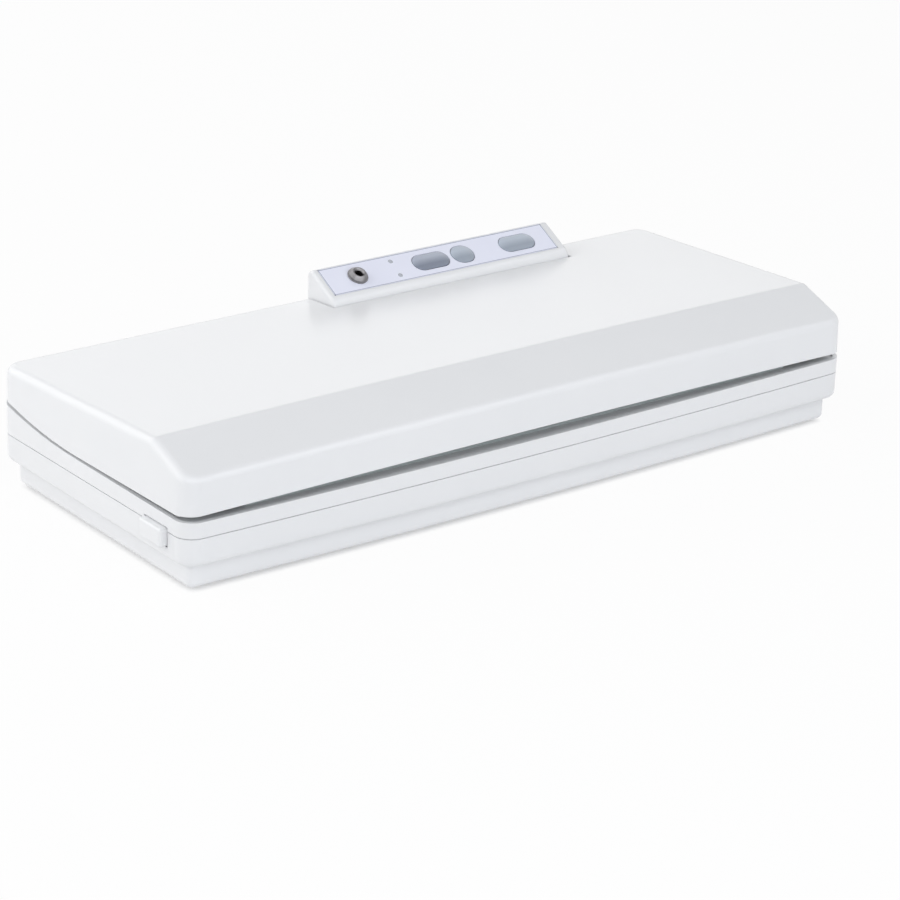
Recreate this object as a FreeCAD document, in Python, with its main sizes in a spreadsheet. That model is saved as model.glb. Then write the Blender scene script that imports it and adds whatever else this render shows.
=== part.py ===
"""Vacuum sealer for kitchen bags: casing, hinged lid, console, latches and vacuum pump.

Units are millimetres. +X runs along the casing to the right, the bag slot faces -Y, +Z is up, and
the origin is on the table under the middle of the object. The lid is closed and unlatched.
"""
import FreeCAD, Part
import math
import os
import re
from FreeCAD import Placement, Rotation, Vector

import Sketcher

# Driving dimensions, by sub-assembly. Each becomes a cell of the sheet with its name as the alias.
DIMENSIONS = {
    "casing": {
        "body_width": 430.0, "body_depth": 180.0, "front_bow": 3.8, "corner_radius": 10.0,
        "casing_wall": 2.5, "foot_height": 2.0, "foot_radius": 7.0, "foot_recess": 1.0,
        "foot_x": 180.0, "foot_y": 62.0, "plinth_inset": 6.0, "plinth_round": 3.0,
        "step_height": 15.5, "band_round": 3.4, "cove_radius": 2.4, "parting_height": 30.2,
        "parting_line": 0.5, "parting_depth": 1.0, "vent_length": 40.0, "vent_width": 3.0,
        "vent_pitch": 8.0, "vent_x": -43.0, "vent_y": 40.0,
    },
    "deck": {
        "deck_floor": 38.0, "deck_skin": 2.5, "rim_front": 38.7, "rim_side": 39.5, "rim_rear": 48.0,
        "seam_bend": 15.0, "plateau_top": 44.0, "plateau_front": -8.0, "plateau_rear": 86.0,
        "plateau_half": 206.0, "channel_half": 172.0, "channel_front": -57.0, "channel_rear": -33.0,
        "channel_floor": 29.0, "channel_wall": 2.0, "tray_flange": 2.0, "tray_rim": 0.8,
        "tray_play": 0.2, "gasket_width": 6.0, "gasket_gap": 5.5, "gasket_top": 41.0,
        "gasket_corner": 4.0, "platform_half": 184.0, "platform_front": -69.0,
        "platform_rear": -14.0, "platform_play": 0.2, "ledge_width": 3.0, "ledge_root": 1.5,
        "ledge_thick": 2.0,
    },
    "heater": {
        "bed_half": 176.0, "bed_y": -74.0, "bed_width": 10.0, "bed_top": 39.2, "strip_half": 178.0,
        "strip_width": 4.0, "strip_thick": 0.3, "strip_leg_low": 30.0, "tape_half": 174.0,
        "tape_width": 8.0, "tape_thick": 0.2, "bar_low": 40.6, "leg_play": 0.3,
    },
    "lid": {
        "lid_draft": 1.5, "lid_wall": 2.5, "lid_front_low": 41.85, "lid_side_low": 40.9,
        "lid_rear_low": 50.0, "lid_crown": 3.0, "bevel_low": 60.9, "bevel_top": 73.05,
        "bevel_run": 32.0, "lid_rear_top": 67.0, "lid_round": 4.5, "plate_low": 43.0,
        "plate_high": 47.0, "plate_skin": 2.0, "plate_front": -80.0, "plate_rear": 58.0,
        "plate_inset": 3.4, "upper_gasket_low": 41.3, "lid_screw_x": 150.0,
        "lid_screw_front": -18.0, "lid_screw_rear": 45.0,
    },
    "hinge": {
        "hinge_y": 84.0, "hinge_z": 62.5, "pin_radius": 1.5, "pin_play": 0.05, "post_near": 191.0,
        "post_far": 196.0, "post_radius": 2.5, "boss_near": 198.0, "boss_far": 206.0,
        "boss_radius": 3.6, "pin_end": 203.0, "slot_play": 2.0,
    },
    "console": {
        "console_left": -23.5, "console_right": 140.5, "console_wall": 2.2, "lip_y": 63.6,
        "lip_z": 66.0, "console_round": 2.0, "notch_gap": 1.0, "notch_front": 62.9, "panel_x": 57.5,
        "panel_y": 76.6, "panel_z": 78.15, "panel_tilt": 28.7, "panel_slope": 21.4,
        "crest_y": 90.0, "crest_z": 81.0, "plate_length": 155.0, "plate_width": 19.6,
        "plate_thick": 0.8, "plate_corner": 1.5, "opening_left": -10.0, "opening_right": 124.0,
        "opening_front": 69.0, "opening_rear": 83.5,
    },
    "keys": {
        "oval_length": 24.0, "oval_width": 11.2, "oval_x": -6.7, "round_length": 14.4,
        "round_width": 12.6, "round_x": 15.4, "seal_length": 23.8, "seal_width": 11.2, "seal_x": 54.0,
        "key_proud": 1.2, "key_play": 0.35, "key_flange": 1.0, "key_flange_top": -2.5,
        "key_flange_thick": 1.2, "key_stem": 2.3, "key_stem_width": 4.0, "key_round": 0.6,
        "lens_radius": 1.4, "lens_proud": 0.3, "lens_x": -31.0, "lens_upper": 5.4, "lens_lower": -5.4,
        "switch_size": 6.0, "switch_height": 2.1, "board_top": -9.0, "board_thick": 1.6,
        "board_left": -36.0, "board_right": 74.0, "board_front": -9.5, "board_rear": 6.5,
        "lamp_height": 5.5, "knob_height": 0.6,
    },
    "port": {
        "port_x": -56.5, "port_radius": 5.9, "port_proud": 3.4, "port_bore": 2.2,
        "port_floor": 5.0, "port_chamfer": 2.0, "neck_radius": 5.0, "neck_low": 6.0, "tail_low": 10.5,
        "tail_radius": 1.5, "tail_bore": 0.9, "nut_size": 8.0, "nut_height": 3.0,
        "port_hose_drop": 9.0, "port_hose_bend": 15.0,
    },
    "release": {
        "release_y": -60.0, "release_length": 20.0, "release_low": 22.5, "release_high": 32.2,
        "release_proud": 4.0, "release_round": 1.5, "release_play": 0.4, "flange_margin": 2.0,
        "flange_high": 34.0, "slider_low": 23.0, "slider_high": 26.0, "slider_width": 12.0,
        "slider_end": 189.0, "nose_tip": 195.0, "nose_low": 33.2, "nose_high": 34.2,
        "nose_root": 193.5, "hook_far": 198.5, "hook_near": 196.0, "barb_near": 193.4,
        "hook_low": 34.6, "barb_high": 35.8, "hook_width": 12.0, "guide_gap": 0.3,
        "guide_near": 193.0, "guide_far": 206.0, "guide_inset": 2.0, "flange_gap": 0.3,
        "flange_thick": 2.0, "flange_drop": 2.0, "slot_near": 190.0, "slot_far": 200.5, "hook_play": 2.0,
        "spring_stop": 178.0, "stop_thick": 2.5, "stop_margin": 1.0, "spring_gap": 0.05,
        "spring_z": 26.0, "spring_radius": 3.0, "spring_wire": 0.35, "spring_turns": 6.0,
    },
    "pump": {
        "pump_y": 40.0, "pump_z": 21.0, "motor_left": 25.0, "motor_right": 71.0, "motor_radius": 14.0,
        "motor_boss": 5.0, "motor_wall": 2.5, "motor_spigot": 0.4, "motor_edge": 1.0,
        "rotor_radius": 9.8, "rotor_gap": 6.0, "shaft_radius": 1.5, "shaft_play": 0.05,
        "shaft_left": 26.0, "shaft_right": 91.0, "housing_left": 71.5, "housing_right": 96.5,
        "housing_front": 20.0, "housing_rear": 54.0, "housing_low": 7.0, "housing_high": 35.0,
        "housing_wall": 2.5, "crank_throw": 1.5, "crank_left": 80.0, "crank_right": 88.0,
        "crank_radius": 4.0, "bearing_radius": 6.5, "rod_eye": 9.0, "rod_width": 6.0, "rod_plate": 7.0,
        "rod_plate_thick": 2.0, "diaphragm_radius": 13.0, "diaphragm_thick": 1.2, "clamp_radius": 5.0,
        "clamp_thick": 1.2, "stud_radius": 2.0, "mouth_radius": 10.5, "head_front": 6.0,
        "chamber_depth": 5.0, "barb_radius": 2.0, "barb_bore": 1.2, "barb_length": 8.0,
        "barb_offset": 6.0, "hose_wall": 1.0, "hose_play": 0.05, "nozzle_y": -45.0,
        "nozzle_flange": 6.0, "nozzle_rim": 1.5, "nozzle_neck": 3.2, "nozzle_low": 17.5,
        "saddle_left": 32.0, "saddle_right": 62.0, "saddle_width": 22.0, "saddle_height": 12.0,
        "mount_radius": 4.0, "mount_inset": 5.0, "hose_gap": 0.5,
    },
    "electrics": {
        "core_x": -140.0, "core_y": 42.0, "core_length": 54.0, "core_depth": 45.0, "core_low": 12.0,
        "core_high": 30.0, "core_leg": 18.0, "core_yoke": 9.0, "coil_low": 5.5, "coil_high": 36.5,
        "coil_play": 0.3, "mainboard_left": -95.0, "mainboard_right": 8.0, "mainboard_front": 8.0,
        "mainboard_rear": 72.0, "mainboard_low": 10.0, "standoff_radius": 3.0, "standoff_inset": 5.0,
        "valve_left": 58.0, "valve_right": 84.0, "valve_y": 66.0, "valve_z": 26.0, "valve_half": 7.5,
        "plunger_radius": 3.0, "plunger_play": 0.1, "plunger_left": 75.0, "plunger_right": 92.0,
        "plunger_head": 5.0, "plunger_cap": 2.0, "sensor_x": 125.0, "sensor_y": 45.0,
        "sensor_radius": 11.0, "sensor_height": 9.0, "lidswitch_x": 170.0, "lidswitch_y": 20.0,
        "lidswitch_length": 20.0, "lidswitch_width": 6.4, "lidswitch_low": 31.5,
        "feeler_radius": 1.6, "feeler_play": 0.3, "feeler_low": 37.0, "feeler_high": 46.6,
        "gland_x": -190.0, "gland_z": 24.4, "gland_radius": 5.0, "gland_flange": 6.2,
        "gland_bore": 3.0, "gland_depth": 10.0, "lead_radius": 1.2, "lead_bend": 10.0,
        "lead_rise": 2.0, "lead_left_x": -150.0, "lead_left_y": -30.0, "lead_left_end": -85.0,
        "lead_right_x": 140.0, "lead_right_y": -25.0, "lead_right_end": 2.0, "lead_end_y": 2.0,
        "core_foot": 6.0, "core_foot_inset": 2.0, "can_radius": 5.0, "can_height": 14.0, "can_x": 42.0,
        "can_y": 50.0, "can_pitch": 13.0, "pedestal_inset": 2.0, "valve_turns": 4.0,
    },
    "fasteners": {
        "screw_x": 192.0, "screw_rear": 72.0, "screw_mid": 0.0, "screw_front_x": 70.0,
        "screw_front_y": -74.0, "screw_radius": 1.5, "screw_head": 2.9, "screw_head_low": 5.5,
        "screw_seat": 8.0, "screw_long": 38.0, "screw_short": 34.5, "pan_boss": 4.0,
        "deck_boss": 3.5, "screw_hole": 1.8, "screw_pilot": 1.55, "screw_well": 3.2,
        "small_radius": 1.4, "small_head": 2.8, "small_head_thick": 1.8, "small_reach": 10.0,
        "small_pilot": 1.45, "small_hole": 1.6, "console_screw_y": 78.0,
        "console_screw_inset": 7.0, "web_half": 1.0, "boss_gap": 0.2, "blind_extra": 0.5,
    },
    "fits": {
        "seat_play": 0.1, "snug_play": 0.05, "pin_seat": 0.01, "recess_play": 0.2, "ledge_gap": 0.3,
        "fillet_slack": 0.02,
    },
}
# Parts on the main board: steps in from its left and front edges, then length, width and height.
BOARD_PARTS = {
    "relay": (12, 40, 19, 15, 15),
    "driver": (60, 12, 10, 4, 16),
    "connector": (81, 48, 16, 6, 8),
    "chip": (46, 30, 18, 8, 3),
    "fuse_holder": (12, 12, 22, 8, 8),
}
NAMES = {name: value for section in DIMENSIONS.values() for name, value in section.items()}
TURNS = {
    "x": Rotation(Vector(0, 1, 0), 90),
    "y": Rotation(Vector(1, 0, 0), -90),
    "z": Rotation(),
}
SIDES = {"left": -1, "right": 1}
PUMP_X = "(crank_left + crank_right) / 2"
INTAKE_X = f"{PUMP_X} - barb_offset"
# How far cutters run past what they cut, and how close two lengths are to count as equal.
BEYOND = 20.0
NEAR = 0.01

doc = FreeCAD.newDocument("vacuum_sealer")
nodes = []


# Sheet and bound primitives

def make_sheet():
    """Writes one row per driving dimension: section, name and the number under its alias."""
    sheet = doc.addObject("Spreadsheet::Sheet", "dims")
    row = 0
    for section, values in DIMENSIONS.items():
        for name, value in values.items():
            row += 1
            sheet.set(f"A{row}", section)
            sheet.set(f"B{row}", name)
            sheet.set(f"C{row}", str(value))
            sheet.setAlias(f"C{row}", name)
    doc.recompute()
    return sheet


def expr(text):
    """An expression with every dimension's name pointed at its cell."""
    return re.sub(r"[a-z_]+", lambda m: f"dims.{m[0]}" if m[0] in NAMES else m[0], text)


def bind_place(obj, x, y, z):
    """Binds an object's position to expressions of the sheet."""
    for axis, text in zip("xyz", (x, y, z)):
        obj.setExpression(f"Placement.Base.{axis}", expr(text))


def block(name, x, y, z):
    """A box between two positions on each axis."""
    obj = doc.addObject("Part::Box", name)
    for prop, (low, high) in zip(("Length", "Width", "Height"), (x, y, z)):
        obj.setExpression(prop, expr(f"({high}) - ({low})"))
    bind_place(obj, x[0], y[0], z[0])
    return obj


def rod(name, radius, axis, span, across):
    """A cylinder along an axis between two positions, centred on the other two coordinates."""
    obj = doc.addObject("Part::Cylinder", name)
    obj.Placement = Placement(Vector(), TURNS[axis])
    obj.setExpression("Radius", expr(radius))
    obj.setExpression("Height", expr(f"({span[1]}) - ({span[0]})"))
    place = dict(zip([a for a in "xyz" if a != axis], across))
    place[axis] = span[0]
    bind_place(obj, place["x"], place["y"], place["z"])
    return obj


def fuse(name, *parts):
    """The union of several objects."""
    obj = doc.addObject("Part::MultiFuse", name)
    obj.Shapes = list(parts)
    return obj


def cut(name, base, *tools):
    """One object less the others."""
    obj = doc.addObject("Part::Cut", name)
    obj.Base = base
    obj.Tool = tools[0] if len(tools) == 1 else fuse(f"{name}_tools", *tools)
    return obj


def group(name, parts):
    """Separate solids kept together as one sub-part."""
    obj = doc.addObject("Part::Compound", name)
    obj.Links = list(parts)
    return obj


def node(label, obj):
    """Names a finished sub-part, which is written to a file of that name."""
    obj.Label = label
    nodes.append(obj)
    return obj


def feature(label, shape):
    """A sub-part whose shape is worked out from the sheet's values."""
    obj = doc.addObject("Part::Feature", label)
    obj.Shape = shape
    return node(label, obj)


def seat_on_panel(obj):
    """Puts a piece made in the panel's own frame onto the sloping face of the console."""
    obj.Placement = Placement(Vector(), Rotation(Vector(1, 0, 0), NAMES["panel_tilt"]))
    obj.setExpression("Placement.Rotation.Angle", expr("panel_tilt"))
    bind_place(obj, "panel_x", "panel_y", "panel_z")
    return obj


# Sketched bodies

def new_sketch(body, role, height="0"):
    """A sketch on one of the body's own origin planes, raised along that plane's normal."""
    sketch = body.newObject("Sketcher::SketchObject", f"{body.Name}_sketch")
    plane = next(f for f in body.Origin.OriginFeatures if f.Role == role)
    sketch.AttachmentSupport = [(plane, "")]
    sketch.MapMode = "FlatFace"
    sketch.setExpression("AttachmentOffset.Base.z", expr(height))
    return sketch


def draw_rectangle(sketch, length, width):
    """Adds a rectangle centred on the sketch's origin."""
    corners = [Vector(-5, -4), Vector(5, -4), Vector(5, 4), Vector(-5, 4)]
    first = sketch.GeometryCount
    for start, end in zip(corners, corners[1:] + corners[:1]):
        sketch.addGeometry(Part.LineSegment(start, end))
    for k in range(4):
        sketch.addConstraint(Sketcher.Constraint("Coincident", first + k, 2, first + (k + 1) % 4, 1))
        direction = "Horizontal" if k % 2 == 0 else "Vertical"
        sketch.addConstraint(Sketcher.Constraint(direction, first + k))
    sketch.addConstraint(Sketcher.Constraint("Symmetric", first, 1, first + 2, 1, -1, 1))
    for kind, edge, text in (("DistanceX", first, length), ("DistanceY", first + 1, width)):
        index = sketch.addConstraint(Sketcher.Constraint(kind, edge, 1, edge, 2, 8.0))
        sketch.setExpression(f"Constraints[{index}]", expr(text))


def draw_outline(sketch, points):
    """Adds a closed outline through points given as pairs of expressions, all zero or more."""
    count = len(points)
    for k in range(count):
        start = Vector(5 + k, 2 * k)
        end = Vector(5 + (k + 1) % count, 2 * ((k + 1) % count))
        sketch.addGeometry(Part.LineSegment(start, end))
    for k, (across, along) in enumerate(points):
        sketch.addConstraint(Sketcher.Constraint("Coincident", k, 2, (k + 1) % count, 1))
        for kind, text, axis in (("DistanceX", across, -2), ("DistanceY", along, -1)):
            if text == "0":
                sketch.addConstraint(Sketcher.Constraint("PointOnObject", k, 1, axis))
                continue
            index = sketch.addConstraint(Sketcher.Constraint(kind, -1, 1, k, 1, 5.0))
            sketch.setExpression(f"Constraints[{index}]", expr(text))


def pad(body, sketch, length):
    """Adds the sketch's area to the body, extruded along the sketch's normal."""
    obj = body.newObject("PartDesign::Pad", f"{body.Name}_pad")
    obj.Profile = sketch
    obj.setExpression("Length", expr(length))
    return obj


def padded_rectangle(body, length, width, height, low="0"):
    """Pads a centred rectangle upwards from a height in the body's frame."""
    sketch = new_sketch(body, "XY_Plane", low)
    draw_rectangle(sketch, length, width)
    return pad(body, sketch, height)


def round_edges(body, base, radius, wanted):
    """Fillets those edges of a feature that the given test picks."""
    doc.recompute()
    edges = [f"Edge{k + 1}" for k, e in enumerate(base.Shape.Edges) if wanted(e)]
    obj = body.newObject("PartDesign::Fillet", f"{body.Name}_fillet")
    obj.Base = (base, edges)
    obj.setExpression("Radius", expr(radius))
    return obj


def upright(edge):
    """Whether an edge runs along Z in the body's frame."""
    a, b = edge.firstVertex().Point, edge.lastVertex().Point
    return abs(a.z - b.z) > 0.9 * edge.Length


def turned(label, points):
    """A body turned from an outline of (radius, height) pairs about its own Z axis."""
    body = doc.addObject("PartDesign::Body", label)
    sketch = new_sketch(body, "XZ_Plane")
    draw_outline(sketch, points)
    obj = body.newObject("PartDesign::Revolution", f"{label}_turned")
    obj.Profile = sketch
    obj.ReferenceAxis = (sketch, ["V_Axis"])
    obj.Angle = 360
    return node(label, body)


# Shapes for the moulded shells

def line(a, b):
    """A straight edge."""
    return Part.LineSegment(a, b).toShape()


def arc(a, b, c):
    """A circular edge through three points."""
    return Part.Arc(a, b, c).toShape()


def plan(inset, z):
    """The casing's plan as a wire: bowed front, straight ends and back, four rounded corners."""
    half, front, bow = v("body_width") / 2, -v("body_depth") / 2, v("front_bow")
    bow_radius = (half**2 + bow**2) / (2 * bow)
    bow_y = front + bow_radius
    corner = v("corner_radius") - inset
    x = half - inset - corner
    y_front = bow_y - math.sqrt((bow_radius - inset - corner) ** 2 - x**2)
    y_rear = -front - inset - corner
    outward = Vector(x, y_front - bow_y, 0).normalize()
    bend = (outward + Vector(1, 0, 0)).normalize() * corner
    diagonal = corner / math.sqrt(2)
    right = [
        Vector(0, bow_y, z) + outward * (bow_radius - inset),
        Vector(x + bend.x, y_front + bend.y, z),
        Vector(x + corner, y_front, z),
        Vector(x + corner, y_rear, z),
        Vector(x + diagonal, y_rear + diagonal, z),
        Vector(x, y_rear + corner, z),
    ]
    left = [Vector(-p.x, p.y, z) for p in right]
    edges = [arc(left[0], Vector(0, front + inset, z), right[0])]
    edges += [arc(*right[0:3]), line(*right[2:4]), arc(*right[3:6]), line(right[5], left[5])]
    edges += [arc(*left[5:2:-1]), line(left[3], left[2]), arc(*left[2::-1])]
    return Part.Wire(edges)


def prism(inset, low, high):
    """The casing's plan, drawn in by an inset and extruded between two heights."""
    return Part.Face(plan(inset, low)).extrude(Vector(0, 0, high - low))


def box(x, y, z):
    """A plain box between two positions on each axis."""
    corner = Vector(x[0], y[0], z[0])
    return Part.makeBox(x[1] - x[0], y[1] - y[0], z[1] - z[0], corner)


def post(radius, x, y, z):
    """An upright cylinder between two heights."""
    return Part.makeCylinder(radius, z[1] - z[0], Vector(x, y, z[0]))


def under_seam(front, side, rear):
    """The space under the seam between lid and deck: level, then rising in an arc to the back."""
    back = v("body_depth") / 2
    bend = v("seam_bend")
    run, rise = back - bend, rear - side
    radius = (run**2 + rise**2) / (2 * rise)
    middle = Vector(0, bend + run / 2, side + radius - math.sqrt(radius**2 - run**2 / 4))
    low, ahead, behind = -BEYOND, -back - BEYOND, back + BEYOND
    points = [
        Vector(0, back, rear), Vector(0, behind, rear), Vector(0, behind, low),
        Vector(0, ahead, low), Vector(0, ahead, front), Vector(0, bend, side),
    ]
    edges = [line(a, b) for a, b in zip(points, points[1:])]
    face = Part.Face(Part.Wire(edges + [arc(points[-1], middle, points[0])]))
    face.translate(Vector(-v("body_width"), 0, 0))
    return face.extrude(Vector(2 * v("body_width"), 0, 0))


def lid_section(x, drop):
    """The lid's side profile at one place along X, lowered by a wall where it is the inside."""
    share = (2 * x / v("body_width")) ** 2
    face = -v("body_depth") / 2 + v("front_bow") * share
    crown = v("lid_crown") * (1 - share) - drop
    low, top, rear = v("bevel_low") + crown, v("bevel_top") + crown, v("lid_rear_top") - drop
    bevel_slope = (top - low) / (v("bevel_run") - 1)
    ridge = face + v("bevel_run")
    back = v("body_depth") / 2
    top_slope = (rear - top) / (back - ridge)
    points = [
        Vector(x, face - BEYOND, 0),
        Vector(x, face - BEYOND, low - bevel_slope * (BEYOND + 1)),
        Vector(x, ridge, top),
        Vector(x, back + BEYOND, rear + top_slope * BEYOND),
        Vector(x, back + BEYOND, 0),
    ]
    return Part.makePolygon(points + points[:1])


def lid_block(inset, drop):
    """The lid as a solid block: a drafted plan under a bevelled and gently crowned top."""
    low, high = v("lid_side_low") - BEYOND / 4, v("bevel_top") + BEYOND
    draft = v("lid_draft")
    walls = Part.makeLoft([plan(inset, low), plan(inset + draft, high)], True, True)
    reach = v("body_width") / 2 + BEYOND
    top = Part.makeLoft([lid_section(x, drop) for x in (-reach, 0, reach)], True, False)
    return walls.common(top)


def obround(length, width, low, high, x=0.0, y=0.0):
    """A flat-sided rounded bar, upright between two heights."""
    half = (length - width) / 2
    ends = [post(width / 2, x + s * half, y, (low, high)) for s in (-1, 1)]
    middle = box((x - half, x + half), (y - width / 2, y + width / 2), (low, high))
    return ends[0].fuse([middle, ends[1]]).removeSplitter()


def tube_path(points, radii):
    """Straight runs through the points, joined by tangent arcs of the given radii."""
    edges = []
    start = points[0]
    for before, corner, after, radius in zip(points, points[1:], points[2:], radii):
        back = (before - corner).normalize()
        ahead = (after - corner).normalize()
        half_angle = back.getAngle(ahead) / 2
        reach = radius / math.tan(half_angle)
        middle = corner + (back + ahead).normalize() * (radius / math.sin(half_angle) - radius)
        edges.append(line(start, corner + back * reach))
        edges.append(arc(corner + back * reach, middle, corner + ahead * reach))
        start = corner + ahead * reach
    edges.append(line(start, points[-1]))
    return Part.Wire(edges)


def swept(path, radius):
    """A round bar along a path of runs and arcs."""
    start = path.Edges[0].firstVertex().Point
    heading = path.Edges[0].lastVertex().Point - start
    ring = Part.Wire(Part.makeCircle(radius, start, heading))
    return path.makePipeShell([ring], True, False)


def coil(radius, wire, turns, length):
    """A compression spring along +X from the origin, one arc of the helix per half turn."""
    halves = int(2 * turns)

    def on_helix(step):
        """A point of the helix, in half turns from its start."""
        along = wire + (length - 2 * wire) * step / halves
        return Vector(along, radius * math.cos(math.pi * step), radius * math.sin(math.pi * step))

    arcs = [arc(on_helix(k), on_helix(k + 0.5), on_helix(k + 1)) for k in range(halves)]
    fine = 8
    points = [on_helix(k / fine) for k in range(fine * halves + 1)]
    apart = [(a - b).Length for k, a in enumerate(points) for b in points[k + 3 * fine // 2:]]
    print("spring, least gap between turns", round(min(apart) - 2 * wire, 2))
    heading = arcs[0].tangentAt(arcs[0].FirstParameter)
    ring = Part.Wire(Part.makeCircle(wire, on_helix(0), heading))
    return Part.Wire(arcs).makePipeShell([ring], True, False)


def panel_placement():
    """The frame of the console's sloping face: X along it, Y up the slope, Z out of it."""
    base = Vector(v("panel_x"), v("panel_y"), v("panel_z"))
    return Placement(base, Rotation(Vector(1, 0, 0), v("panel_tilt")))


def on_panel(shape):
    """Moves a shape from the panel's frame to the part's frame."""
    shape.Placement = panel_placement().multiply(shape.Placement)
    return shape


def screw_places():
    """Where the casing screws stand, with the height that each reaches."""
    ends = [(s * v("screw_x"), y) for s in (-1, 1) for y in (v("screw_rear"), v("screw_mid"))]
    front = [(s * v("screw_front_x"), v("screw_front_y")) for s in (-1, 1)]
    return [(*spot, v("screw_long")) for spot in ends] + [(*spot, v("screw_short")) for spot in front]


def foot_places():
    """The four corners where the feet sit."""
    return [(sx * v("foot_x"), sy * v("foot_y")) for sx in (-1, 1) for sy in (-1, 1)]


# Casing

def make_base_pan():
    """The lower casing: recessed plinth, rounded band, screw bosses, latch guides and vents."""
    shell = pan_shell().fuse(pan_supports()).cut(pan_holes())
    feature("base_pan", shell.removeSplitter())


def pan_shell():
    """The pan's hollow wall, with a cove where the band steps out over the plinth."""
    floor, step, parting = v("foot_height"), v("step_height"), v("parting_height")
    wall, inset = v("casing_wall"), v("plinth_inset")
    band = prism(0, step, parting)
    band = band.makeFillet(v("band_round"), [e for e in band.Edges if at_height(e, step)])
    plinth = prism(inset, floor, step + 1)
    plinth = plinth.makeFillet(v("plinth_round"), [e for e in plinth.Edges if at_height(e, floor)])
    outer = band.fuse(plinth).removeSplitter()
    inner_step = [e for e in outer.Edges if at_height(e, step) and is_inside(e, inset)]
    outer = outer.makeFillet(v("cove_radius"), inner_step)
    hollow = prism(inset + wall, floor + wall, step + 2 * wall)
    return outer.cut(hollow.fuse(prism(wall, step + wall, parting + BEYOND)))


def pan_supports():
    """Bosses, standoffs, latch guides and the valve's pedestal, all rooted in the pan's floor."""
    low = v("foot_height") + v("casing_wall") / 2
    top = v("parting_height") - v("boss_gap")
    shapes = [post(v("pan_boss"), x, y, (low, top)) for x, y, _ in screw_places()]
    half, inset = v("valve_half"), v("pedestal_inset")
    x = (v("valve_left") + inset, v("valve_right") - inset)
    shapes.append(box(x, (v("valve_y") - half, v("valve_y") + half), (low, v("valve_z") - half)))
    return shapes + standoffs(low) + latch_guides(low)


def pan_holes():
    """Screw wells, foot recesses, the cord's hole, the release windows and the vents."""
    floor = v("foot_height")
    holes = []
    for x, y, _ in screw_places():
        holes.append(post(v("screw_hole"), x, y, (0, v("deck_floor"))))
        holes.append(post(v("screw_well"), x, y, (0, v("screw_seat"))))
    for x, y in foot_places():
        holes.append(post(v("foot_radius") + v("seat_play"), x, y, (0, floor + v("foot_recess"))))
    start = Vector(v("gland_x"), v("body_depth") / 2 - v("gland_depth"), v("gland_z"))
    holes.append(Part.makeCylinder(v("gland_radius") + v("snug_play"), BEYOND, start, Vector(0, 1, 0)))
    holes += [release_window(side) for side in SIDES.values()]
    return holes + vents(floor)


def at_height(edge, z):
    """Whether an edge lies at one height."""
    bounds = edge.BoundBox
    return abs(bounds.ZMin - z) < NEAR and abs(bounds.ZMax - z) < NEAR


def is_inside(edge, inset):
    """Whether an edge lies on the plinth's outline, inside the casing's."""
    wide = v("body_width") / 2 - inset + NEAR
    deep = v("body_depth") / 2 - inset + NEAR
    bounds = edge.BoundBox
    return max(bounds.XMax, -bounds.XMin) < wide and max(bounds.YMax, -bounds.YMin) < deep


def standoffs(low):
    """Four short posts under the main board."""
    inset = v("standoff_inset")
    xs = (v("mainboard_left") + inset, v("mainboard_right") - inset)
    ys = (v("mainboard_front") + inset, v("mainboard_rear") - inset)
    return [post(v("standoff_radius"), x, y, (low, v("mainboard_low"))) for x in xs for y in ys]


def mirror_span(side, near, far):
    """The X span between two distances from the middle, on one end of the casing."""
    return tuple(sorted((side * near, side * far)))


def latch_guides(low):
    """Under each release slider a pedestal, and behind its spring a stop wall."""
    y, half, inset = v("release_y"), v("slider_width") / 2, v("guide_inset")
    stop = v("spring_stop")
    stop_z = (low, v("spring_z") + v("spring_radius") + v("stop_margin"))
    shapes = []
    for side in SIDES.values():
        guide_x = mirror_span(side, v("guide_near"), v("guide_far"))
        guide_y = (y - half + inset, y + half - inset)
        shapes.append(box(guide_x, guide_y, (low, v("slider_low") - v("guide_gap"))))
        stop_x = mirror_span(side, stop - v("stop_thick"), stop)
        shapes.append(box(stop_x, (y - half, y + half), stop_z))
    return shapes


def release_window(side):
    """The window in one end wall that a release button stands in."""
    play, y, end = v("release_play"), v("release_y"), v("body_width") / 2
    half = v("release_length") / 2 + play
    x = mirror_span(side, end - BEYOND / 2, end + BEYOND / 2)
    return box(x, (y - half, y + half), (v("release_low") - play, v("release_high") + play))


def vents(floor):
    """A row of cooling slots in the floor under the main board."""
    size = (v("vent_length"), v("vent_width"))
    rows = [v("vent_y") + k * v("vent_pitch") for k in range(-2, 3)]
    return [obround(*size, 0, floor + BEYOND / 4, v("vent_x"), y) for y in rows]


def make_upper_deck():
    """The upper half of the base: rim, front floor, raised rear, hinge posts and platform ledge."""
    parting, floor, skin = v("parting_height"), v("deck_floor"), v("deck_skin")
    wall, top = v("casing_wall"), v("plateau_top")
    seam = under_seam(v("rim_front"), v("rim_side"), v("rim_rear"))
    rim = prism(0, parting, v("rim_rear") + 1).common(seam)
    groove = prism(0, parting, parting + v("parting_line"))
    groove = groove.cut(prism(v("parting_depth"), 0, 2 * parting))
    shell = rim.cut([groove, prism(wall, floor, 2 * top), prism(wall, 0, floor - skin)])
    half, front, rear = v("plateau_half"), v("plateau_front"), v("plateau_rear")
    plateau = box((-half, half), (front, rear), (floor - skin, top))
    room = box((skin - half, half - skin), (front + skin, rear - skin), (0, top - skin))
    shell = shell.fuse([plateau] + hinge_posts()).cut(room)
    under = floor - skin
    ledge = box(*platform_span(v("platform_play") + v("ledge_root")), (under - v("ledge_thick"), under))
    shell = shell.fuse(deck_bosses() + [ledge])
    feature("upper_deck", shell.cut(deck_holes()).removeSplitter())


def platform_span(margin):
    """The X and Y spans of the sealing platform, widened by a margin."""
    half = v("platform_half") + margin
    return (-half, half), (v("platform_front") - margin, v("platform_rear") + margin)


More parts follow.
